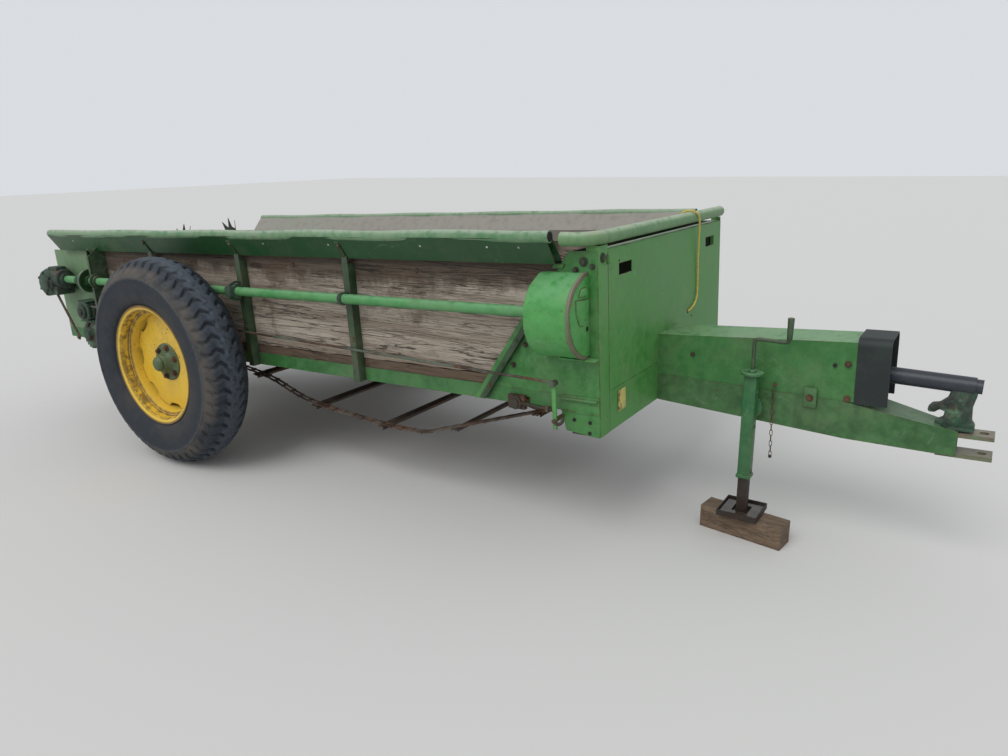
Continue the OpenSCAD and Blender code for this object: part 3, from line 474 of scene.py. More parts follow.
class Shape:
    """A mesh of simple solids. Its coordinates are the level machine's unless stood is False."""

    def __init__(self):
        self.bm = bmesh.new()

    def block(self, low, high, bevel=0.0, turn=None):
        low, high = Vector(low), Vector(high)
        size = Matrix.Diagonal((*(high - low), 1.0))
        place = Matrix.Translation((low + high) / 2) @ (turn or Matrix.Identity(4)) @ size
        made = bmesh.ops.create_cube(self.bm, size=1.0, matrix=place)["verts"]
        self.soften(made, bevel)

    def soften(self, verts, bevel):
        if bevel:
            self.round_off({edge for vert in verts for edge in vert.link_edges}, bevel)

    def round_off(self, edges, width):
        bmesh.ops.bevel(self.bm, geom=list(edges), offset=width, segments=2, profile=0.5,
                        affect="EDGES", material=-1)

    def move(self, way):
        bmesh.ops.translate(self.bm, verts=self.bm.verts, vec=way)

    def take_in(self, part):
        """Adds the solids of another shape, which is used up."""
        mesh = bpy.data.meshes.new("part")
        part.bm.to_mesh(mesh)
        part.bm.free()
        self.bm.from_mesh(mesh)
        bpy.data.meshes.remove(mesh)

    def rod(self, start, end, radius, tip=None, sides=20, bevel=0.0):
        """A round bar from start to end, which may narrow to another radius at its tip."""
        start, end = Vector(start), Vector(end)
        line = end - start
        place = Matrix.Translation((start + end) / 2) @ line.to_track_quat("Z", "Y").to_matrix().to_4x4()
        made = bmesh.ops.create_cone(
            self.bm, cap_ends=True, segments=sides, radius1=radius,
            radius2=radius if tip is None else tip, depth=line.length, matrix=place,
        )["verts"]
        if bevel:
            self.round_off([edge for edge in {e for v in made for e in v.link_edges}
                            if any(len(face.verts) > 4 for face in edge.link_faces)], bevel)

    def across(self, at, start, end, *sizes, **more):
        """A round bar across the machine, at a place along it and a height."""
        self.rod((at[0], start, at[1]), (at[0], end, at[1]), *sizes, **more)

    def bolt(self, at, along, radius=0.009, height=0.008):
        """A six-sided head on a washer."""
        at, along = Vector(at), Vector(along).normalized()
        self.rod(at, at + along * 0.0025, radius * 1.45, sides=16)
        self.rod(at, at + along * height, radius, radius * 0.92, sides=6)

    def plate(self, outline, start, end, flat="Y", bevel=0.0):
        """An outline drawn out from start to end along the axis that it is flat to."""
        if flat == "Y":
            points = [(x, start, z) for x, z in outline]
            drawn = Vector((0, end - start, 0))
        elif flat == "X":
            points = [(start, y, z) for y, z in outline]
            drawn = Vector((end - start, 0, 0))
        else:
            points = [(x, y, start) for x, y in outline]
            drawn = Vector((0, 0, end - start))
        face = self.bm.faces.new([self.bm.verts.new(point) for point in points])
        grown = bmesh.ops.extrude_face_region(self.bm, geom=[face])["geom"]
        moved = [part for part in grown if isinstance(part, bmesh.types.BMVert)]
        bmesh.ops.translate(self.bm, verts=moved, vec=drawn)
        self.soften(moved + list(face.verts), bevel)

    def holed(self, start, end, sides, heights, holes):
        """A sheet across X between two sides and two heights, with rectangular holes (y0, y1, z0, z1)."""
        across = sorted({*sides, *(h for hole in holes for h in hole[:2])})
        upward = sorted({*heights, *(h for hole in holes for h in hole[2:])})
        verts = {(y, z): self.bm.verts.new((start, y, z)) for y in across for z in upward}
        faces = []
        for y0, y1 in zip(across, across[1:]):
            for z0, z1 in zip(upward, upward[1:]):
                y, z = (y0 + y1) / 2, (z0 + z1) / 2
                if not any(h[0] < y < h[1] and h[2] < z < h[3] for h in holes):
                    faces.append(self.bm.faces.new(
                        [verts[y0, z0], verts[y1, z0], verts[y1, z1], verts[y0, z1]]))
        grown = bmesh.ops.extrude_face_region(self.bm, geom=faces)["geom"]
        moved = [part for part in grown if isinstance(part, bmesh.types.BMVert)]
        bmesh.ops.translate(self.bm, verts=moved, vec=(end - start, 0, 0))

    def lathe(self, profile, centre=(0, 0, 0), steps=64):
        """Radii and heights turned round the Y axis through the centre."""
        made = [self.bm.verts.new(Vector(centre) + Vector((r, h, 0))) for r, h in profile]
        edges = [self.bm.edges.new(pair) for pair in zip(made, made[1:])]
        spun = bmesh.ops.spin(self.bm, geom=made + edges, cent=centre, axis=(0, 1, 0), angle=math.tau,
                              steps=steps, use_duplicate=False)
        near = list({v for v in self.bm.verts if v.is_valid and not v.link_faces} | set(made)
                    | {v for v in spun["geom_last"] if isinstance(v, bmesh.types.BMVert)})
        bmesh.ops.remove_doubles(self.bm, verts=near, dist=1e-6)

    def sweep(self, points, radius, sides=12, smooth=True):
        """A round bar bent along points."""
        line = smooth_line(points) if smooth else points
        curve = round_curve("bent", line, radius, max(1, sides // 4 - 1))
        holder = bpy.data.objects.new("bent", curve)
        mesh = bpy.data.meshes.new_from_object(holder)
        self.bm.from_mesh(mesh)
        bpy.data.meshes.remove(mesh)
        bpy.data.objects.remove(holder)
        bpy.data.curves.remove(curve)

    def mirrored(self):
        """The same shape on the right side of the machine."""
        bmesh.ops.scale(self.bm, vec=(1, -1, 1), verts=self.bm.verts)
        return self

    def finish(self, name, look, body="frame", replaces=(), stood=True, smooth=40.0):
        """Makes the piece, stands it as the machine is parked, and gives it its finish and body."""
        if stood:
            turn = Matrix.Rotation(-PARK_TILT, 4, "Y")
            place = Matrix.Translation((AXLE_X, 0, AXLE_Z)) @ turn @ Matrix.Translation((0, 0, -AXLE_Z))
            bmesh.ops.transform(self.bm, matrix=place, verts=self.bm.verts)
        bmesh.ops.recalc_face_normals(self.bm, faces=self.bm.faces)
        for face in self.bm.faces:
            face.smooth = True
        for edge in self.bm.edges:
            edge.smooth = edge.is_boundary or edge.calc_face_angle(0.0) < math.radians(smooth)
        mesh = bpy.data.meshes.new(name)
        self.bm.to_mesh(mesh)
        self.bm.free()
        piece = bpy.data.objects.new(name, mesh)
        bpy.context.scene.collection.objects.link(piece)
        mesh.materials.append(look)
        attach(piece, body)
        if replaces:
            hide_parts(*replaces)
        return piece


def round_curve(name, points, radius, resolution):
    curve = bpy.data.curves.new(name, "CURVE")
    curve.dimensions = "3D"
    curve.bevel_depth = radius
    curve.bevel_resolution = resolution
    curve.use_fill_caps = True
    spline = curve.splines.new("POLY")
    spline.points.add(len(points) - 1)
    for point, place in zip(spline.points, points):
        point.co = (*place, 1.0)
    return curve


def smooth_line(points, steps=6):
    """A Catmull-Rom curve through points."""
    points = [Vector(p) for p in points]
    line = []
    for i in range(len(points) - 1):
        a, b = points[max(i - 1, 0)], points[i]
        c, d = points[i + 1], points[min(i + 2, len(points) - 1)]
        for k in range(steps):
            t = k / steps
            line.append(b + (c - a) * t / 2 + (2 * a - 5 * b + 4 * c - d) * t * t / 2
                        + (3 * b - a - 3 * c + d) * t ** 3 / 2)
    return line + [points[-1]]


def arc(centre, radius, start, end, steps=12):
    """Points of an arc in a plane, with angles in degrees."""
    angles = [math.radians(start + (end - start) * i / steps) for i in range(steps + 1)]
    return [(centre[0] + radius * math.cos(a), centre[1] + radius * math.sin(a)) for a in angles]


# Wheels

LUGS = 50
LUG_DEPTH = 0.013
TREAD_HALF = 0.085
SHOULDER_R = 0.470
SIDE_R = 0.400
TYRE_HALF = 0.1165
BEAD_R = 0.272
BEAD_HALF = 0.088


def tyre_profile():
    """Radius and half width across the outside of the tyre, from bead to bead."""
    side = [(BEAD_R, BEAD_HALF - 0.012), (0.288, BEAD_HALF), (0.296, BEAD_HALF + 0.004)]
    side += [(SIDE_R - 0.104 * math.cos(a), 0.092 + (TYRE_HALF - 0.092) * math.sin(a))
             for a in (math.radians(d) for d in range(12, 91, 12))]
    side += [(0.412, TYRE_HALF), (0.416, TYRE_HALF + 0.002), (0.421, TYRE_HALF + 0.001),
             (0.425, TYRE_HALF - 0.003)]
    side += [(0.425 + 0.045 * t, TYRE_HALF - 0.003 - (TYRE_HALF - 0.003 - TREAD_HALF) * t ** 1.6)
             for t in (i / 7 for i in range(1, 8))]
    crown = [(TYRE_R - (TYRE_R - SHOULDER_R) * (y / TREAD_HALF) ** 2, y)
             for y in (TREAD_HALF * (1 - i / 17) for i in range(1, 35))]
    return side + crown + [(r, -h) for r, h in reversed(side)]


def groove(turn, across, radius):
    """Depth of the tread at a turn in lug pitches: wavy grooves that run out over the shoulders."""
    reach = abs(across)
    if radius < 0.432 or reach < 0.018:
        return 0.0
    wave = 0.42 * abs(((reach - 0.018) / 0.034) % 2.0 - 1.0)
    offset = 0.5 if across < 0 else 0.0
    phase = (turn + wave + offset) % 1.0
    wall = min(phase, 0.34 - phase) / 0.06
    depth = min(max(wall, 0.0), 1.0)
    inner = min((reach - 0.018) / 0.008, 1.0)
    outer = min((radius - 0.432) / 0.022, 1.0)
    return LUG_DEPTH * depth * inner * outer


def tyre_shape():
    tyre = Shape()
    tyre.lathe(tyre_profile(), steps=LUGS * 10)
    for vert in tyre.bm.verts:
        radius = math.hypot(vert.co.x, vert.co.z)
        turn = math.atan2(vert.co.z, vert.co.x) / math.tau * LUGS
        cut = 1.0 - groove(turn, vert.co.y, radius) / radius
        vert.co.x *= cut
        vert.co.z *= cut
    return tyre


def rim_shape():
    """The rim, its dish with eight lobes, and the valve."""
    rim = Shape()
    rim.lathe([(0.264, 0.080), (0.266, 0.087), (0.274, 0.092), (0.287, 0.094), (0.2885, 0.090),
               (0.284, 0.087), (0.275, 0.085), (0.268, 0.078), (0.266, 0.052), (0.249, 0.046),
               (0.243, 0.030), (0.243, -0.046), (0.266, -0.052), (0.268, -0.078), (0.275, -0.085),
               (0.284, -0.087), (0.2885, -0.090), (0.287, -0.094), (0.274, -0.092), (0.264, -0.086),
               (0.260, -0.052), (0.238, -0.042), (0.237, 0.030), (0.243, 0.043), (0.259, 0.049),
               (0.261, 0.078), (0.264, 0.080)], steps=128)
    lobes = 8
    lobe = ((0.212, -0.44), (0.216, -0.32), (0.235, -0.24), (0.238, -0.10),
            (0.238, 0.10), (0.235, 0.24), (0.216, 0.32), (0.212, 0.44))
    corners = [(r * math.cos(a), r * math.sin(a)) for i in range(lobes)
               for r, a in ((r, (i + 0.5 + part) * math.tau / lobes) for r, part in lobe)]
    rim.plate(corners, -0.004, 0.005, bevel=0.0015)
    rim.rod((0.222, 0.03, 0.05), (0.214, 0.058, 0.052), 0.004, sides=10)
    return rim


def nuts_shape():
    nuts = Shape()
    for i in range(6):
        a = (i + 0.3) * math.tau / 6
        nuts.bolt((0.072 * math.cos(a), 0.013, 0.072 * math.sin(a)), (0, 1, 0), 0.011, 0.014)
    return nuts


def hub_shape():
    hub = Shape()
    hub.lathe([(0.0, 0.073), (0.016, 0.0725), (0.028, 0.069), (0.034, 0.063), (0.036, 0.056),
               (0.0335, 0.053), (0.0335, 0.050), (0.038, 0.048), (0.040, 0.044), (0.045, 0.030),
               (0.054, 0.017), (0.060, 0.013), (0.088, 0.012), (0.091, 0.009), (0.091, -0.010),
               (0.050, -0.012), (0.047, -0.054), (0.023, -0.055)], steps=48)
    return hub


def make_wheels(looks):
    for side, s in (("left", 1.0), ("right", -1.0)):
        place = Matrix.Translation((AXLE_X, s * WHEEL_Y, TYRE_R)) @ Matrix.Diagonal((1, s, 1, 1))
        for shape, name, look, node, smooth in (
            (tyre_shape(), "tread_", "tyre", "tyre_", 55.0),
            (nuts_shape(), "wheel_nuts_", "steel", None, 40.0),
            (rim_shape(), "wheel_rim_", "yellow", "rim_", 32.0),
            (hub_shape(), "wheel_hub_", "hub", "hub_", 40.0),
        ):
            shape.bm.transform(place)
            nodes = [node + side] if node else []
            shape.finish(name + side, looks[look], "wheel_" + side, nodes, stood=False, smooth=smooth)


# Box

BOX_Y = 0.620
BOARD_IN = 0.598
SILL_Z = 0.475
SILL_TOP = 0.533
BOARD_TOP = 0.990
BOX_REAR = -0.815
STAKES = (-0.300, 0.387, 1.074)
STAKE_W = 0.030
STAKE_D = 0.040
POST_X = -0.800
POST_Y = 0.712
WALL_FOOT = 1.690
WALL_SLOPE = 0.400 / 0.559


def wall_x(z):
    return WALL_FOOT + (z - SILL_Z) * WALL_SLOPE


def board_outline(low, high, ends):
    """A board's outline with an edge that wanders a little."""
    steps = 44
    front_low, front_high = wall_x(low) - 0.006, wall_x(high) - 0.006
    under = [(BOX_REAR + (front_low - BOX_REAR) * i / steps,
              low + ends * 0.004 * math.sin(i * 1.9) * math.sin(i * 0.7)) for i in range(steps + 1)]
    over = [(BOX_REAR + (front_high - BOX_REAR) * i / steps,
             high + ends * 0.002 * math.sin(i * 2.3 + 1.0)) for i in range(steps, -1, -1)]
    return under + over


def make_boards(looks):
    for side in ("left", "right"):
        boards = Shape()
        for low, high in ((0.574, 0.797), (0.803, BOARD_TOP)):
            boards.plate(board_outline(low, high, 1.0), BOARD_IN, BOX_Y)
        strip = Shape()
        strip.plate(board_outline(SILL_TOP, 0.570, 0.6), BOARD_IN, BOX_Y - 0.004)
        bolts = Shape()
        for x, z in ((0.72, 0.956), (-0.02, 0.958), (1.42, 0.95), (-0.62, 0.952), (-0.55, 0.92),
                     (STAKES[1], 0.70)):
            bolts.across((x, z), BOX_Y - 0.001, BOX_Y + 0.004, 0.011, 0.008, sides=14)
        for shape, name, look, nodes in (
            (boards, "boards_", "boards", ["side_boards_" + side]),
            (strip, "strip_", "dark_wood", []),
            (bolts, "board_bolts_", "steel", []),
        ):
            if side == "right":
                shape.mirrored()
            shape.finish(name + side, looks[look], replaces=nodes)


def skirt_y(z):
    """The outer face of the right rail's skirt at a height."""
    return 0.6473 + (z - 0.9932) * 0.596


def add_stake(shape, x, drop):
    half = STAKE_W / 2
    top = 0.972 - drop
    web = BOX_Y + STAKE_D
    shape.block((x - half, web - 0.004, SILL_Z), (x + half, web, 1.004 - drop), 0.001)
    for end in (-1, 1):
        shape.block((x + end * half - 0.002, BOX_Y, SILL_Z), (x + end * half + 0.002, web, top), 0.0008)
    bend, tip = (web - 0.004, 1.000), (skirt_y(1.062) + 0.001, 1.062)
    strap = [(bend[0], bend[1] - drop), (bend[0] + 0.005, bend[1] - drop - 0.001),
             (tip[0] + 0.005, tip[1] - drop - 0.003), (tip[0] + 0.003, tip[1] - drop + 0.004),
             (tip[0], tip[1] - drop)]
    shape.plate(strap, x - half * 0.8, x + half * 0.8, flat="X", bevel=0.0008)
    shape.bolt((x, skirt_y(1.045) + 0.006, 1.045 - drop), SKIRT_OUT, 0.010, 0.008)
    shape.bolt((x, web, 0.66 - drop), (0, 1, 0), 0.008, 0.005)


def add_post(shape, drop, opening):
    """The wide post at the boards' rear end, cut in behind the rail's skirt."""
    lean = skirt_y(1.010 - drop)
    outline = [(BOX_Y, SILL_Z), (POST_Y, SILL_Z), (POST_Y, 0.972 - drop), (lean + 0.002, 1.012 - drop),
               (skirt_y(0.994) + 0.002, 0.993 - drop), (BOX_Y, 0.990 - drop)]
    shape.plate(outline, POST_X - 0.005, POST_X, flat="X")
    shape.block((POST_X - 0.024, POST_Y - 0.005, SILL_Z), (POST_X, POST_Y, 0.970 - drop), 0.001)
    turn = Matrix.Rotation(math.radians(42), 4, "X")
    shape.block((POST_X - 0.024, lean, 0.989 - drop), (POST_X, lean + 0.054, 0.993 - drop), 0.001, turn)
    if opening:
        for start, end, radius, bevel in ((-0.024, 0.020, 0.031, 0.003), (0.0, 0.008, 0.044, 0.002)):
            shape.rod((POST_X + start, -SHAFT_Y, SHAFT_Z), (POST_X + end, -SHAFT_Y, SHAFT_Z), radius,
                      bevel=bevel)
    for z in (0.56, 0.72, 0.93):
        shape.bolt((POST_X, 0.645, z - drop), (1, 0, 0), 0.009, 0.007)


def make_stakes(looks):
    for side, drop in (("left", LEFT_DROP), ("right", 0.0)):
        shape = Shape()
        for x in STAKES:
            add_stake(shape, x, drop)
        add_post(shape, drop, side == "right")
        if side == "right":
            shape.mirrored()
        shape.finish("stakes_straps_" + side, looks["grimy"], replaces=["stakes_" + side])


SKIRT_OUT = Vector((0, 0.859, -0.512))
RAIL_REAR = -1.210
RAIL_FRONT = 2.052
LEFT_SHORTER = 0.13
RAIL_R = 0.021
RAIL_Y = 0.685
RAIL_Z = 1.088


def make_rails(looks):
    for side, drop in (("left", LEFT_DROP), ("right", 0.0)):
        rear = RAIL_REAR + (LEFT_SHORTER if side == "left" else 0.0)
        steps = 56
        line = [(rear + (RAIL_FRONT - rear) * i / steps,
                 RAIL_Y + 0.0022 * math.sin(i * 0.9) * math.sin(i * 0.31),
                 RAIL_Z - drop + 0.0018 * math.sin(i * 0.53 + 1.0)) for i in range(steps + 1)]
        tube = Shape()
        tube.sweep(line, RAIL_R, sides=24, smooth=False)
        top, low = (RAIL_Y + 0.017, RAIL_Z - 0.004 - drop), (0.6455, 0.994 - drop)
        skirt = [top, low, (low[0] + 0.0035, low[1] - 0.0012), (top[0] + 0.0035, top[1] - 0.0012)]
        flare = [(RAIL_Y - 0.012, RAIL_Z + 0.012 - drop), (BOARD_IN - 0.003, BOARD_TOP + 0.002),
                 (BOARD_IN - 0.003, BOARD_TOP - 0.055), (BOARD_IN - 0.0002, BOARD_TOP - 0.055),
                 (BOARD_IN - 0.0002, BOARD_TOP + 0.001), (RAIL_Y - 0.008, RAIL_Z + 0.006 - drop)]
        sheets = Shape()
        sheets.plate(skirt, rear, RAIL_FRONT - 0.004, flat="X")
        sheets.plate(flare, rear, RAIL_FRONT - 0.004, flat="X")
        marks = Shape()
        for x in (-0.98, 0.62, 1.02, 1.50, 1.80, 1.93):
            at = Vector((x, skirt_y(1.052), 1.052 - drop))
            marks.rod(at, at + SKIRT_OUT * 0.004, 0.006, 0.004, sides=12)
        end = Vector((RAIL_FRONT, RAIL_Y, line[-1][2]))
        # A dark disc in the tube's open front end: painted shade inside the tube.
        bore = Shape()
        bore.rod(end - Vector((0.001, 0, 0)), end + Vector((0.0006, 0, 0)), RAIL_R - 0.004, sides=24)
        if side == "right":
            for shape in (tube, sheets, marks, bore):
                shape.mirrored()
        tube.finish("rail_tube_" + side, looks["rail"], replaces=["rail_" + side])
        sheets.finish("rail_skirt_" + side, looks["flare" if side == "left" else "worn"])
        marks.finish("rail_bolts_" + side, looks["bright"])
        bore.finish("rail_bore_" + side, looks["soot"])


PANEL_X = 2.190
PANEL_LOW = 0.390
PANEL_TOP = 1.036
PANEL_MID = 0.0355
PANEL_HALF = 0.577
HAND_Y = 0.440
HAND_Z = 0.955


def make_front_rail(looks):
    rail = Shape()
    line = [(2.080, -0.660, 1.0775), (2.090, -0.660, 1.0775), (2.104, -0.660, 1.0772)]
    line += [(2.114 + 0.070 * math.sin(a), -0.590 - 0.070 * math.cos(a), 1.0765)
             for a in (math.radians(d) for d in range(0, 91, 10))]
    line += [(2.184, y, 1.075) for y in (-0.58, -0.30, 0.10, 0.40, 0.600)]
    line += [(2.183, 0.618, 1.075), (2.176, 0.630, 1.075)]
    rail.sweep(line, 0.023, sides=24, smooth=False)
    rail.lathe([(0.0235, 0.0), (0.0245, 0.002), (0.0245, 0.006), (0.0235, 0.008)], (0, 0, 0), 32)
    ring = [v for v in rail.bm.verts if math.hypot(v.co.x, v.co.z) < 0.03 and abs(v.co.y) < 0.01]
    bmesh.ops.translate(rail.bm, verts=ring, vec=(2.184, -0.565, 1.075))
    rail.finish("front_tube", looks["bar"], replaces=["front_rail"])


def make_panel(looks):
    panel = Shape()
    right, left = PANEL_MID - PANEL_HALF, PANEL_MID + PANEL_HALF
    holes = [(y - 0.0535, y + 0.0535, HAND_Z - 0.0205, HAND_Z + 0.0205)
             for y in (PANEL_MID - HAND_Y, PANEL_MID + HAND_Y)]
    panel.holed(PANEL_X - 0.003, PANEL_X, (right, left), (0.5415, PANEL_TOP),
                holes + [(-0.04, 0.04, 0.5415, 0.635)])
    panel.holed(PANEL_X - 0.004, PANEL_X - 0.001, (right, left), (PANEL_LOW, 0.540),
                [(-0.04, 0.04, 0.50, 0.540)])
    panel.block((PANEL_X - 0.030, right, PANEL_TOP - 0.003), (PANEL_X, left, PANEL_TOP))
    panel.block((PANEL_X - 0.003, -0.617, PANEL_LOW), (PANEL_X + 0.001, right - 0.004, 1.050), 0.0008)
    panel.block((PANEL_X - 0.030, right - 0.006, PANEL_LOW), (PANEL_X - 0.003, right - 0.004, 1.030))
    panel.block((PANEL_X - 0.042, -0.6185, PANEL_LOW), (PANEL_X + 0.001, -0.6155, 1.052), 0.0008)
    panel.block((PANEL_X - 0.042, left, PANEL_LOW), (PANEL_X, 0.6185, 1.050), 0.0008)
    panel.block((PANEL_X - 0.002, right - 0.012, PANEL_TOP - 0.05),
                (PANEL_X + 0.010, right + 0.004, PANEL_TOP - 0.02), 0.003)
    panel.finish("panel_sheet", looks["panel"], replaces=["front_panel"])
    # Dark discs in the panel's holes: painted shade inside the holes.
    dark = Shape()
    for y, z, r in ((0.215, 0.687, 0.009), (0.260, 0.660, 0.005), (-0.455, 0.985, 0.004),
                    (0.05, 0.42, 0.005)):
        dark.rod((PANEL_X - 0.002, y, z), (PANEL_X + 0.0006, y, z), r, sides=16)
    for x, z, r in ((2.092, 0.446, 0.007), (2.154, 0.443, 0.007), (2.152, 0.404, 0.007)):
        dark.across((x, z), -0.620, -0.6262, r, sides=16)
    dark.finish("panel_holes", looks["soot"])
    # Dark sheets in the box's far front corner, behind the hand hole: painted shade.
    shade_sheets = Shape()
    shade_sheets.block((2.075, 0.606, 0.600), (2.145, 0.611, 1.030), 0.001)
    shade_sheets.block((2.082, 0.380, 0.900), (2.088, 0.606, 1.028), 0.001)
    shade_sheets.finish("shade_behind_hand_hole", looks["soot"])
    plate = Shape()
    plate.block((PANEL_X + 0.0008, -0.478, 0.446), (PANEL_X + 0.0016, -0.414, 0.524), 0.0003)
    plate.finish("blank_plate", looks["label"])


GUARD_REAR = 1.985
GUARD_FRONT = 2.154
GUARD_Z = 0.820
GUARD_R = 0.145


def guard_outline(r):
    """Half circle outboard of the side panel, its top drawn straight down to the panel."""
    round_part = [p for p in arc((BOX_Y, GUARD_Z), r, -90, 50, 28)]
    top = [(BOX_Y + 0.030, GUARD_Z + r * 0.985), (BOX_Y, GUARD_Z + r)]
    return [(BOX_Y, GUARD_Z - r)] + round_part[1:] + top


def make_guard(looks):
    edge = Shape()
    edge.plate(guard_outline(GUARD_R + 0.003), GUARD_FRONT - 0.010, GUARD_FRONT + 0.0015, flat="X",
               bevel=0.0025)
    edge.mirrored().finish("guard_edge", looks["edge"])
    drum = Shape()
    drum.plate(guard_outline(GUARD_R), GUARD_REAR, GUARD_FRONT, flat="X")
    drum.plate(guard_outline(GUARD_R - 0.009), GUARD_FRONT + 0.001, GUARD_FRONT + 0.004, flat="X",
               bevel=0.0015)
    foot = GUARD_Z - GUARD_R
    drum.block((2.054, BOX_Y, foot - 0.006), (2.192, BOX_Y + 0.034, foot), 0.001)
    for high, pressing in (
        (0.010, ((0.010, 0.060), (0.100, 0.066), (0.096, 0.020), (0.075, -0.020), (0.050, -0.025),
                 (0.010, 0.030))),
        (0.012, ((0.020, 0.072), (0.076, 0.074), (0.060, 0.098), (0.024, 0.100))),
    ):
        drum.plate([(BOX_Y + y, GUARD_Z + z) for y, z in pressing], GUARD_FRONT, GUARD_FRONT + high,
                   flat="X", bevel=0.004)
    drum.mirrored().finish("guard_drum", looks["guard"], replaces=["chain_guard"])
    # A dark disc in the guard's hole: painted shade inside it.
    hole = Shape()
    at = Vector((GUARD_FRONT, -BOX_Y - 0.020, GUARD_Z - 0.040))
    hole.rod(at, at + Vector((0.0050, 0, 0)), 0.0085)
    hole.finish("guard_hole", looks["soot"])


def make_lower_corner(looks):
    """The plate under the guard, the strap along the front wall's edge, and the corner's bolts."""
    corner = Shape()
    corner.plate([(2.042, 0.460), (2.060, 0.402), (2.190, 0.390), (2.190, 0.533), (2.042, 0.533)],
                 BOX_Y, BOX_Y + 0.004, bevel=0.0008)
    corner.block((2.033, BOX_Y + 0.002, 0.520), (2.186, BOX_Y + 0.018, 0.525), 0.001)
    corner.block((2.040, BOX_Y + 0.002, 0.474), (2.186, BOX_Y + 0.008, 0.477), 0.0008)
    foot, head = wall_x(0.480), wall_x(0.800)
    strap = Shape()
    for back, front, out in ((-0.006, 0.026, 0.010), (0.022, 0.027, 0.024)):
        strap.plate([(foot + back, 0.480), (foot + front, 0.480), (head + front, 0.800), (head + back, 0.800)],
                    BOX_Y + 0.001, BOX_Y + out, bevel=0.001)
    for z in (0.53, 0.62, 0.71, 0.78):
        strap.bolt((wall_x(z) + 0.009, BOX_Y + 0.010, z), (0, 1, 0), 0.008, 0.006)
    strap.mirrored().finish("wall_strap", looks["grimy"])
    corner.mirrored().finish("lower_plate", looks["green"], replaces=["front_gusset_right"])
    bolts = Shape()
    for x, z, r in ((2.140, 1.000, 0.011), (2.110, 0.972, 0.008), (2.172, 0.985, 0.007),
                    (1.90, 0.70, 0.007), (1.845, 0.62, 0.007), (1.965, 0.86, 0.007)):
        bolts.bolt((x, -BOX_Y - 0.001, z), (0, -1, 0), r, 0.009)
    bolts.bolt((2.191, -0.585, 1.010), (1, 0, 0), 0.012, 0.009)
    bolts.finish("corner_bolts", looks["fitting"])


# Running gear that shows from the side

IDLER = (1.860, 0.485)


def make_controls(looks):
    lever = Shape()
    lever.plate([(2.0385, 0.424), (2.0535, 0.420), (2.0545, 0.590), (2.050, 0.597), (2.040, 0.597),
                 (2.036, 0.590)], 0.676, 0.683, bevel=0.001)
    lever.mirrored().finish("feed_lever", looks["guard"], replaces=["feed_control"])
    rod = Shape()
    rod.rod((2.052, -0.671, 0.588), (-1.000, -0.671, 0.686), 0.0052)
    rod.across((2.045, 0.588), -0.664, -0.694, 0.011, bevel=0.002)
    rod.rod((2.045, -0.622, 0.455), (2.045, -0.690, 0.452), 0.008)
    rod.finish("feed_rod", looks["rod"])
    hook = Shape()
    hook.sweep([(2.050, -0.688, 0.450), (2.066, -0.692, 0.446), (2.080, -0.690, 0.456),
                (2.078, -0.684, 0.470)], 0.006)
    hook.finish("lever_hook", looks["fitting"])


def make_take_up(looks):
    """The bearing of the apron's front shaft, with the screw that draws it tight."""
    take_up = Shape()
    take_up.across(IDLER, -0.616, -0.650, 0.026, bevel=0.003)
    take_up.across(IDLER, -0.650, -0.656, 0.0175, bevel=0.002)
    take_up.rod((1.884, -0.642, 0.484), (2.030, -0.642, 0.476), 0.006)
    for i in range(34):
        x, z = 1.890 + i * 0.004, 0.4838 - i * 0.00022
        take_up.rod((x, -0.642, z), (x + 0.002, -0.642, z - 0.0001), 0.0074, sides=14)
    take_up.rod((1.990, -0.642, 0.478), (2.002, -0.642, 0.4775), 0.013, sides=6)
    take_up.finish("take_up_screw", looks["fitting"])


def make_bearings(looks):
    bearings = Shape()
    for x, r, half in ((STAKES[1], 0.034, 0.018), (STAKES[2], 0.026, 0.010)):
        bearings.rod((x - half, SHAFT_Y, SHAFT_Z), (x + half, SHAFT_Y, SHAFT_Z), r, bevel=0.004)
        bearings.block((x - half * 0.8, -0.690, 0.812), (x + half * 0.8, -0.660, 0.858), 0.004)
    x = STAKES[1]
    for z in (0.806, 0.864):
        bearings.bolt((x, -0.692, z), (0, -1, 0), 0.009, 0.014)
    bearings.block((x - 0.022, -0.735, 0.812), (x + 0.020, -0.660, 0.862), 0.010)
    bearings.sweep([(x, -0.664, 0.872), (x, -0.690, 0.876), (x, -0.722, 0.862), (x, -0.730, 0.835),
                    (x, -0.722, 0.808), (x, -0.690, 0.794), (x, -0.664, 0.798)], 0.0045)
    bearings.rod((-0.990, SHAFT_Y, SHAFT_Z), (-0.965, SHAFT_Y, SHAFT_Z), 0.030, bevel=0.003)
    bearings.finish("bearing_clamps", looks["iron"], replaces=["shaft_bearings"])
    cup = Shape()
    cup.lathe([(0.020, -0.030), (0.028, -0.030), (0.030, -0.010), (0.062, -0.006), (0.064, 0.0), (0.064, 0.020),
               (0.058, 0.020), (0.056, 0.004), (0.030, 0.002), (0.028, 0.026), (0.020, 0.026)], (0, 0, 0), 48)
    bmesh.ops.rotate(cup.bm, cent=(0, 0, 0), matrix=Matrix.Rotation(math.radians(-90), 3, "Z"),
                     verts=cup.bm.verts)
    cup.move((-0.885, SHAFT_Y, SHAFT_Z))
    cup.finish("cup_coupling", looks["worn"], body="side_shaft")


GEAR_X = (-1.310, -1.130)
BEATER_AT = (-1.250, 0.815)
DRIVE_AT = (-1.080, 0.500)


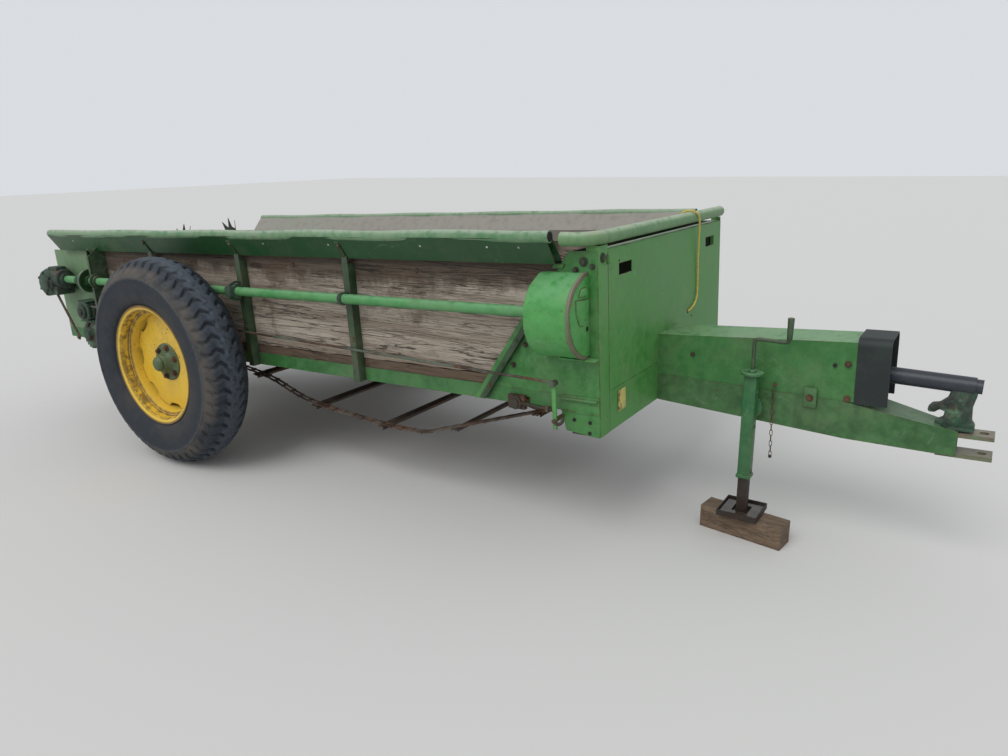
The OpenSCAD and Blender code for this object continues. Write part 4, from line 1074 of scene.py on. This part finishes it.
def make_gear_casting(looks):
    casting = Shape()
    x0, x1 = GEAR_X
    casting.rod((x0 + 0.002, SHAFT_Y, SHAFT_Z), (x1, SHAFT_Y, SHAFT_Z), 0.060, 0.054, sides=28, bevel=0.008)
    casting.rod((x1 - 0.004, SHAFT_Y, SHAFT_Z), (x1 + 0.016, SHAFT_Y, SHAFT_Z), 0.036, bevel=0.004)
    casting.across(BEATER_AT, -0.622, -0.752, 0.076, 0.070, 32, 0.009)
    casting.across(BEATER_AT, -0.750, -0.764, 0.052, 0.046, 28, 0.004)
    for i in range(6):
        a = math.radians(30 + 60 * i)
        x, z = BEATER_AT[0] + 0.060 * math.cos(a), BEATER_AT[1] + 0.060 * math.sin(a)
        casting.bolt((x, -0.751, z), (0, -1, 0), 0.007, 0.008)
        casting.across((x, z), -0.630, -0.748, 0.013, bevel=0.003)
    casting.block((x0 + 0.03, -0.742, 0.748), (x1 - 0.02, -0.640, 0.800), 0.010)
    casting.block((x0 + 0.05, -0.720, 0.880), (x1 - 0.03, -0.660, 0.905), 0.008)
    casting.finish("gear_casting", looks["iron"], replaces=["bevel_gearbox"])


def make_ratchet(looks):
    """The stacked castings over the apron's rear shaft, its toothed wheel, and the link to them."""
    stack = Shape()
    at = (-1.010, 0.655)
    for r, y in ((0.045, -0.640), (0.062, -0.656), (0.048, -0.668), (0.060, -0.680), (0.040, -0.694)):
        stack.across(at, y, y - 0.014, r, r * 0.97, 28, 0.003)
    stack.across(at, -0.615, -0.716, 0.018, bevel=0.002)
    stack.block((-1.050, -0.650, 0.540), (-0.985, -0.625, 0.640), 0.006)
    for z in (0.600, 0.618, 0.694, 0.712):
        stack.block((-1.060, -0.690, z - 0.004), (-0.960, -0.622, z + 0.004), 0.002)
    teeth = 20
    wheel = [(DRIVE_AT[0] + r * math.cos(a), DRIVE_AT[1] + r * math.sin(a)) for i in range(teeth)
             for r, a in ((0.064, (i + 0.1) * math.tau / teeth), (0.076, (i + 0.75) * math.tau / teeth))]
    stack.plate(wheel, -0.634, -0.645)
    stack.across(DRIVE_AT, -0.630, -0.668, 0.030, 0.026, 24, 0.004)
    stack.plate([(-1.100, 0.560), (-1.084, 0.552), (-1.004, 0.630), (-1.016, 0.648)], -0.646, -0.654,
                bevel=0.001)
    stack.finish("ratchet_castings", looks["iron"], replaces=["ratchet_drive"])
    link = Shape()
    link.plate([(-1.262, 0.762), (-1.244, 0.770), (-1.075, 0.508), (-1.090, 0.498)], -0.700, -0.706,
               bevel=0.001)
    for x, z in ((-1.252, 0.762), (-1.083, 0.506)):
        link.bolt((x, -0.706, z), (0, -1, 0), 0.011, 0.010)
    link.finish("drive_link", looks["rod"])


def make_beater(looks):
    """A tube with toothed paddles that step round it, on the beater's own axis."""
    paddles, length = 14, 1.206
    tube = Shape()
    tube.across((0, 0), -length / 2, length / 2, 0.057, sides=40)
    tube.across((0, 0), -0.640, 0.658, 0.020)
    for s in (-1, 1):
        tube.across((0, 0), s * 0.585, s * 0.603, 0.072, bevel=0.004)
    blades = Shape()
    for i in range(paddles):
        middle = (i + 0.5 - paddles / 2) * (length - 0.020) / paddles
        turn = math.radians(180 - 77 * i)
        half = 0.040
        outline = [(0.050, -half), (0.186, -half), (0.245, -half - 0.012), (0.206, -half * 0.45),
                   (0.203, -0.010), (0.2700, 0.002), (0.206, half * 0.42), (0.190, half),
                   (0.250, half + 0.011), (0.180, half + 0.002), (0.050, half)]
        blade = Shape()
        blade.plate([(x, y + middle) for x, y in outline], -0.003, 0.003, flat="Z", bevel=0.0006)
        blade.block((0.052, middle - 0.026, 0.003), (0.105, middle + 0.026, 0.0085), 0.0015)
        for x in (0.070, 0.092):
            blade.bolt((x, middle, 0.0085), (0, 0, 1), 0.008, 0.007)
        bend = Matrix.Rotation(math.radians(6.0 * math.sin(i * 2.4)), 4, "X")
        blade.bm.transform(Matrix.Rotation(turn, 4, "Y") @ Matrix.Translation((0, middle, 0)) @ bend
                           @ Matrix.Translation((0, -middle, 0)))
        blades.take_in(blade)
    for shape, name, look, nodes in ((tube, "beater_tube", "beater", ["beater"]),
                                     (blades, "beater_blades", "blade", [])):
        shape.move(parked(BEATER_AT[0], 0.0, BEATER_AT[1]))
        shape.finish(name, looks[look], "beater", nodes, stood=False)


CHAIN_IN = 0.556
CHAIN_Y = 0.500
SAG = ((1.420, 0.279), (1.270, 0.240), (1.020, 0.244), (0.580, 0.290), (0.310, 0.374), (0.0, 0.418),
       (-0.500, 0.436))
LINK_PITCH = 0.059
SLAT_PITCH = 0.420


def apron_path():
    front = [Vector((x, 0, z)) for x, z in arc(IDLER, CHAIN_IN - IDLER[1], 90, -62)]
    rear = [Vector((x, 0, z)) for x, z in arc(DRIVE_AT, CHAIN_IN - DRIVE_AT[1], -92, -270)]
    hanging = smooth_line([front[-1]] + [Vector((x, 0, z)) for x, z in SAG] + [rear[0]], 5)
    return front[:-1] + hanging[:-1] + rear


def along_loop(path, reach):
    """The place and direction at a length along a closed loop."""
    for a, b in zip(path, path[1:] + path[:1]):
        step = (b - a).length
        if reach <= step:
            return a.lerp(b, reach / step), (b - a).normalized()
        reach -= step
    return path[0].copy(), (path[1] - path[0]).normalized()


def make_apron(looks):
    """Ladder chains of open links, with the slats that they draw along."""
    path = apron_path()
    total = sum((b - a).length for a, b in zip(path, path[1:] + path[:1]))
    chain, slats = Shape(), Shape()
    links = round(total / LINK_PITCH)
    for i in range(links):
        reach = (i + 0.5) * total / links
        at, ahead = along_loop(path, reach)
        out = Vector((-ahead.z, 0, ahead.x))
        middle = at + out * 0.006
        half = total / links / 2
        for y in (-CHAIN_Y, CHAIN_Y):
            for side in (-1, 1):
                start = middle - ahead * half + Vector((0, y + side * 0.0135, 0))
                end = middle + ahead * half + Vector((0, y + side * 0.0105, 0))
                chain.rod(start, end, 0.0052, sides=6)
            bar = middle + ahead * half
            chain.rod(bar + Vector((0, y - 0.0170, 0)), bar + Vector((0, y + 0.0170, 0)), 0.0060, sides=7)
    for k in range(math.floor(total / SLAT_PITCH)):
        at, ahead = along_loop(path, (k + 0.5) * total / math.floor(total / SLAT_PITCH))
        out = Vector((-ahead.z, 0, ahead.x))
        middle = at + out * 0.016
        turn = Matrix((ahead, Vector((0, 1, 0)), out)).transposed().to_4x4()
        slat = Shape()
        slat.block((-0.019, -0.530, -0.007), (-0.014, 0.530, 0.008), 0.001)
        slat.block((-0.019, -0.530, -0.007), (0.019, 0.530, -0.002), 0.001)
        for y in (-0.515, -0.485, 0.485, 0.515):
            slat.bolt((0.004, y, -0.002), (0, 0, 1), 0.006, 0.006)
        slat.bm.transform(Matrix.Translation(middle) @ turn)
        slats.take_in(slat)
    chain.finish("apron_chains", looks["chain"], replaces=["apron"])
    slats.finish("apron_slats", looks["slat"])


# Drawbar and jack

JACK_AT = (2.571, -0.165)


def make_jack(looks):
    x, y = JACK_AT[0] + AXLE_X, JACK_AT[1]
    crank = Shape()
    crank.sweep([(x, y, 0.628), (x, y, 0.700), (x, y, 0.752), (x + 0.004, y, 0.765), (x + 0.018, y, 0.769),
                 (x + 0.060, y, 0.769), (x + 0.102, y, 0.768), (x + 0.114, y, 0.772), (x + 0.118, y, 0.784),
                 (x + 0.118, y, 0.800)], 0.0072)
    crank.rod((x + 0.118, y, 0.780), (x + 0.118, y, 0.857), 0.0095, 0.0115, 20, 0.003)
    crank.finish("crank_bent", looks["grimy"], replaces=["jack_crank"], stood=False)
    tube = Shape()
    tube.block((x - 0.0225, y - 0.0225, 0.2355), (x + 0.0225, y + 0.0225, 0.640), 0.004)
    tube.rod((x, y, 0.638), (x, y, 0.6475), 0.042, 0.040, 36, 0.002)
    tube.rod((x, y, 0.6475), (x, y, 0.656), 0.017, 0.013, 20, 0.002)
    tube.rod((x, y + 0.0225, 0.505), (x, y + 0.063, 0.505), 0.030, bevel=0.002)
    tube.rod((x, y + 0.020, 0.505), (x, y + 0.026, 0.505), 0.040, bevel=0.002)
    for z in (0.262, 0.440, 0.570):
        tube.bolt((x + 0.0225, y, z), (1, 0, 0), 0.006, 0.004)
    tube.block((x - 0.026, y - 0.026, 0.2355), (x + 0.026, y + 0.026, 0.250), 0.003)
    tube.finish("jack_outer", looks["jack"], replaces=["jack_tube"], stood=False)
    water = Shape()
    out, clear = 0.068, 0.031
    for x0, x1, y0, y1 in ((-out, -clear, -out, out), (clear, out, -out, out),
                           (-clear, clear, -out, -clear), (-clear, clear, clear, out)):
        water.block((x + x0, y + y0, 0.0945), (x + x1, y + y1, 0.1035))
    bmesh.ops.remove_doubles(water.bm, verts=water.bm.verts, dist=1e-5)
    water.finish("pan_water", looks["water"], "jack_leg", stood=False)


def make_pin_chain(looks):
    chain = Shape()
    top, low = Vector((2.638, -0.118, 0.476)), Vector((2.640, -0.124, 0.229))
    links = 12
    for i in range(links):
        a, b = top.lerp(low, i / links), top.lerp(low, (i + 1.25) / links)
        aside = Vector((0.0045, 0, 0)) if i % 2 else Vector((0, 0.0045, 0))
        end = (b - a) * 0.2
        chain.sweep([a, a + aside + end, b + aside - end, b, b - aside - end, a - aside + end, a], 0.0013,
                    sides=8, smooth=False)
    chain.rod((2.640, -0.124, 0.232), (2.640, -0.124, 0.222), 0.006, bevel=0.002)
    chain.sweep([(2.632, -0.104, 0.486), (2.636, -0.118, 0.486), (2.638, -0.121, 0.478),
                 (2.638, -0.116, 0.472)], 0.002)
    chain.finish("pin_chain", looks["steel"])


def make_drawbar_fittings(looks):
    bracket = Shape()
    bracket.block((2.742, -0.1135, 0.432), (2.787, -0.104, 0.504), 0.003)
    bracket.finish("drawbar_bracket", looks["drawbar"])
    marks = Shape()
    for x, y, z, radius, height in (
        (2.764, -0.1135, 0.468, 0.009, 0.008),
        (2.880, -0.100, 0.600, 0.008, 0.007),
        (2.884, -0.100, 0.476, 0.008, 0.007),
        (2.330, -0.1055, 0.585, 0.006, 0.003),
        (2.640, -0.1055, 0.500, 0.005, 0.005),
    ):
        marks.bolt((x, y, z), (0, -1, 0), radius, height)
    marks.finish("drawbar_bolts", looks["steel"])
    # A dark disc in the shield's hole: painted shade inside it.
    hole = Shape()
    hole.across((2.838, 0.592), -0.099, -0.1035, 0.007)
    hole.finish("shield_hole", looks["soot"])


def make_rest(looks):
    """The casting at the drawbar's end that the input shaft lies on."""
    rest = Shape()
    saddle = [(3.150, 0.392), (3.222, 0.388), (3.266, 0.388), (3.266, 0.404), (3.256, 0.418), (3.254, 0.470),
              (3.264, 0.512), (3.262, 0.524), (3.230, 0.530), (3.200, 0.530), (3.188, 0.518), (3.180, 0.490),
              (3.158, 0.470), (3.136, 0.466), (3.124, 0.450), (3.128, 0.440), (3.146, 0.440), (3.160, 0.452),
              (3.176, 0.446), (3.172, 0.420), (3.150, 0.408)]
    rest.plate(saddle, -0.0215, 0.0215, bevel=0.004)
    rest.block((3.150, -0.034, 0.387), (3.262, 0.034, 0.398), 0.003)
    for y in (-0.028, 0.028):
        rest.bolt((3.180, y, 0.398), (0, 0, 1), 0.008, 0.008)
    rest.finish("rest_casting", looks["iron"], replaces=["shaft_rest"])


ROPE_R = 0.004
# Points of the rope in millimetres, on the level machine
ROPE = ((2152, 205, 1052), (2155, 206, 1072), (2161, 207, 1092), (2172, 211, 1102), (2185, 222, 1105),
        (2199, 240, 1101), (2209, 258, 1090), (2213, 271, 1074), (2212, 279, 1050), (2208, 288, 1010),
        (2203, 297, 960), (2199, 304, 900), (2197, 310, 840), (2196, 313, 780), (2196, 306, 736),
        (2196, 280, 710), (2197, 248, 699), (2195, 227, 692), (2188, 215, 687), (2174, 211, 684))


def make_rope():
    """The yellow rope that hangs over the front rail and goes through a hole in the panel."""
    points = smooth_line([parked(x / 1000, y / 1000, z / 1000) for x, y, z in ROPE], 4)
    curve = round_curve("rope", points, ROPE_R, 4)
    rope = bpy.data.objects.new("rope", curve)
    bpy.context.scene.collection.objects.link(rope)
    length = sum((b - a).length for a, b in zip(points, points[1:]))
    f = Finish("rope_yellow")
    strands = f.noise(90.0, 4.0, 0.6, stretch=(1.0, 1.0, 1.6), turn=(0.6, 0.3, 0.0))
    lay = f.node("ShaderNodeTexWave", {"wave_type": "BANDS", "bands_direction": "DIAGONAL"},
                 {"Vector": f.place(), "Scale": 110.0, "Distortion": 0.6})
    colour = f.mix(f.step(strands, 0.35, 0.70), (0.640, 0.470, 0.050), (0.760, 0.640, 0.180))
    colour = f.mix(f.step(f.noise(14.0, 5.0), 0.50, 0.75) * 0.5, colour, (0.180, 0.140, 0.050))
    curve.materials.append(f.surface(colour, 0.75, lay + strands * 0.4, 0.0012))
    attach(rope, "frame")


# Stage

FLOOR_HALF = 40.0


def make_camera():
    heading, pitch, roll = map(math.radians, (CAMERA_HEADING, CAMERA_PITCH, CAMERA_ROLL))
    ahead = Vector((-math.sin(heading) * math.cos(pitch), math.cos(heading) * math.cos(pitch),
                    -math.sin(pitch)))
    level = Vector((math.cos(heading), math.sin(heading), 0.0))
    upright = level.cross(ahead)
    right = level * math.cos(roll) + upright * math.sin(roll)
    up = upright * math.cos(roll) - level * math.sin(roll)
    data = bpy.data.cameras.new("camera")
    data.sensor_width = SENSOR
    data.lens = SENSOR * FOCAL_PIXELS / PHOTO_WIDTH
    camera = bpy.data.objects.new("camera", data)
    turn = Matrix((right, up, -ahead)).transposed()
    camera.matrix_world = Matrix.Translation(CAMERA_AT) @ turn.to_4x4()
    bpy.context.scene.collection.objects.link(camera)
    bpy.context.scene.camera = camera


def make_stage():
    """A plain pale floor under a plain pale sky."""
    bm = bmesh.new()
    bmesh.ops.create_grid(bm, x_segments=1, y_segments=1, size=FLOOR_HALF)
    mesh = bpy.data.meshes.new("floor")
    bm.to_mesh(mesh)
    bm.free()
    floor = bpy.data.objects.new("floor", mesh)
    mesh.materials.append(Finish("floor_grey").surface((0.62, 0.61, 0.59, 1.0), 0.9))
    bpy.context.scene.collection.objects.link(floor)
    world = bpy.data.worlds.new("sky")
    world.use_nodes = True
    tree = world.node_tree
    tree.nodes["Background"].inputs["Color"].default_value = (0.93, 0.96, 1.0, 1.0)
    tree.nodes["Background"].inputs["Strength"].default_value = 0.75
    bpy.context.scene.world = world
    lamp = bpy.data.lights.new("sun_soft", "SUN")
    lamp.energy = 1.3
    lamp.angle = math.radians(40.0)
    sun = bpy.data.objects.new("sun_soft", lamp)
    sun.rotation_euler = [math.radians(a) for a in (38.0, 12.0, -20.0)]
    bpy.context.scene.collection.objects.link(sun)
    bpy.context.scene.view_settings.view_transform = "Standard"


def main():
    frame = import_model()
    make_camera()
    make_rope()
    looks = make_looks()
    dress_frame(frame["nodes"], looks)
    for make in (make_wheels, make_boards, make_stakes, make_rails, make_front_rail, make_panel, make_guard,
                 make_lower_corner, make_controls, make_take_up, make_bearings, make_gear_casting,
                 make_ratchet, make_beater, make_apron, make_jack, make_pin_chain, make_drawbar_fittings,
                 make_rest):
        make(looks)
    make_stage()


main()
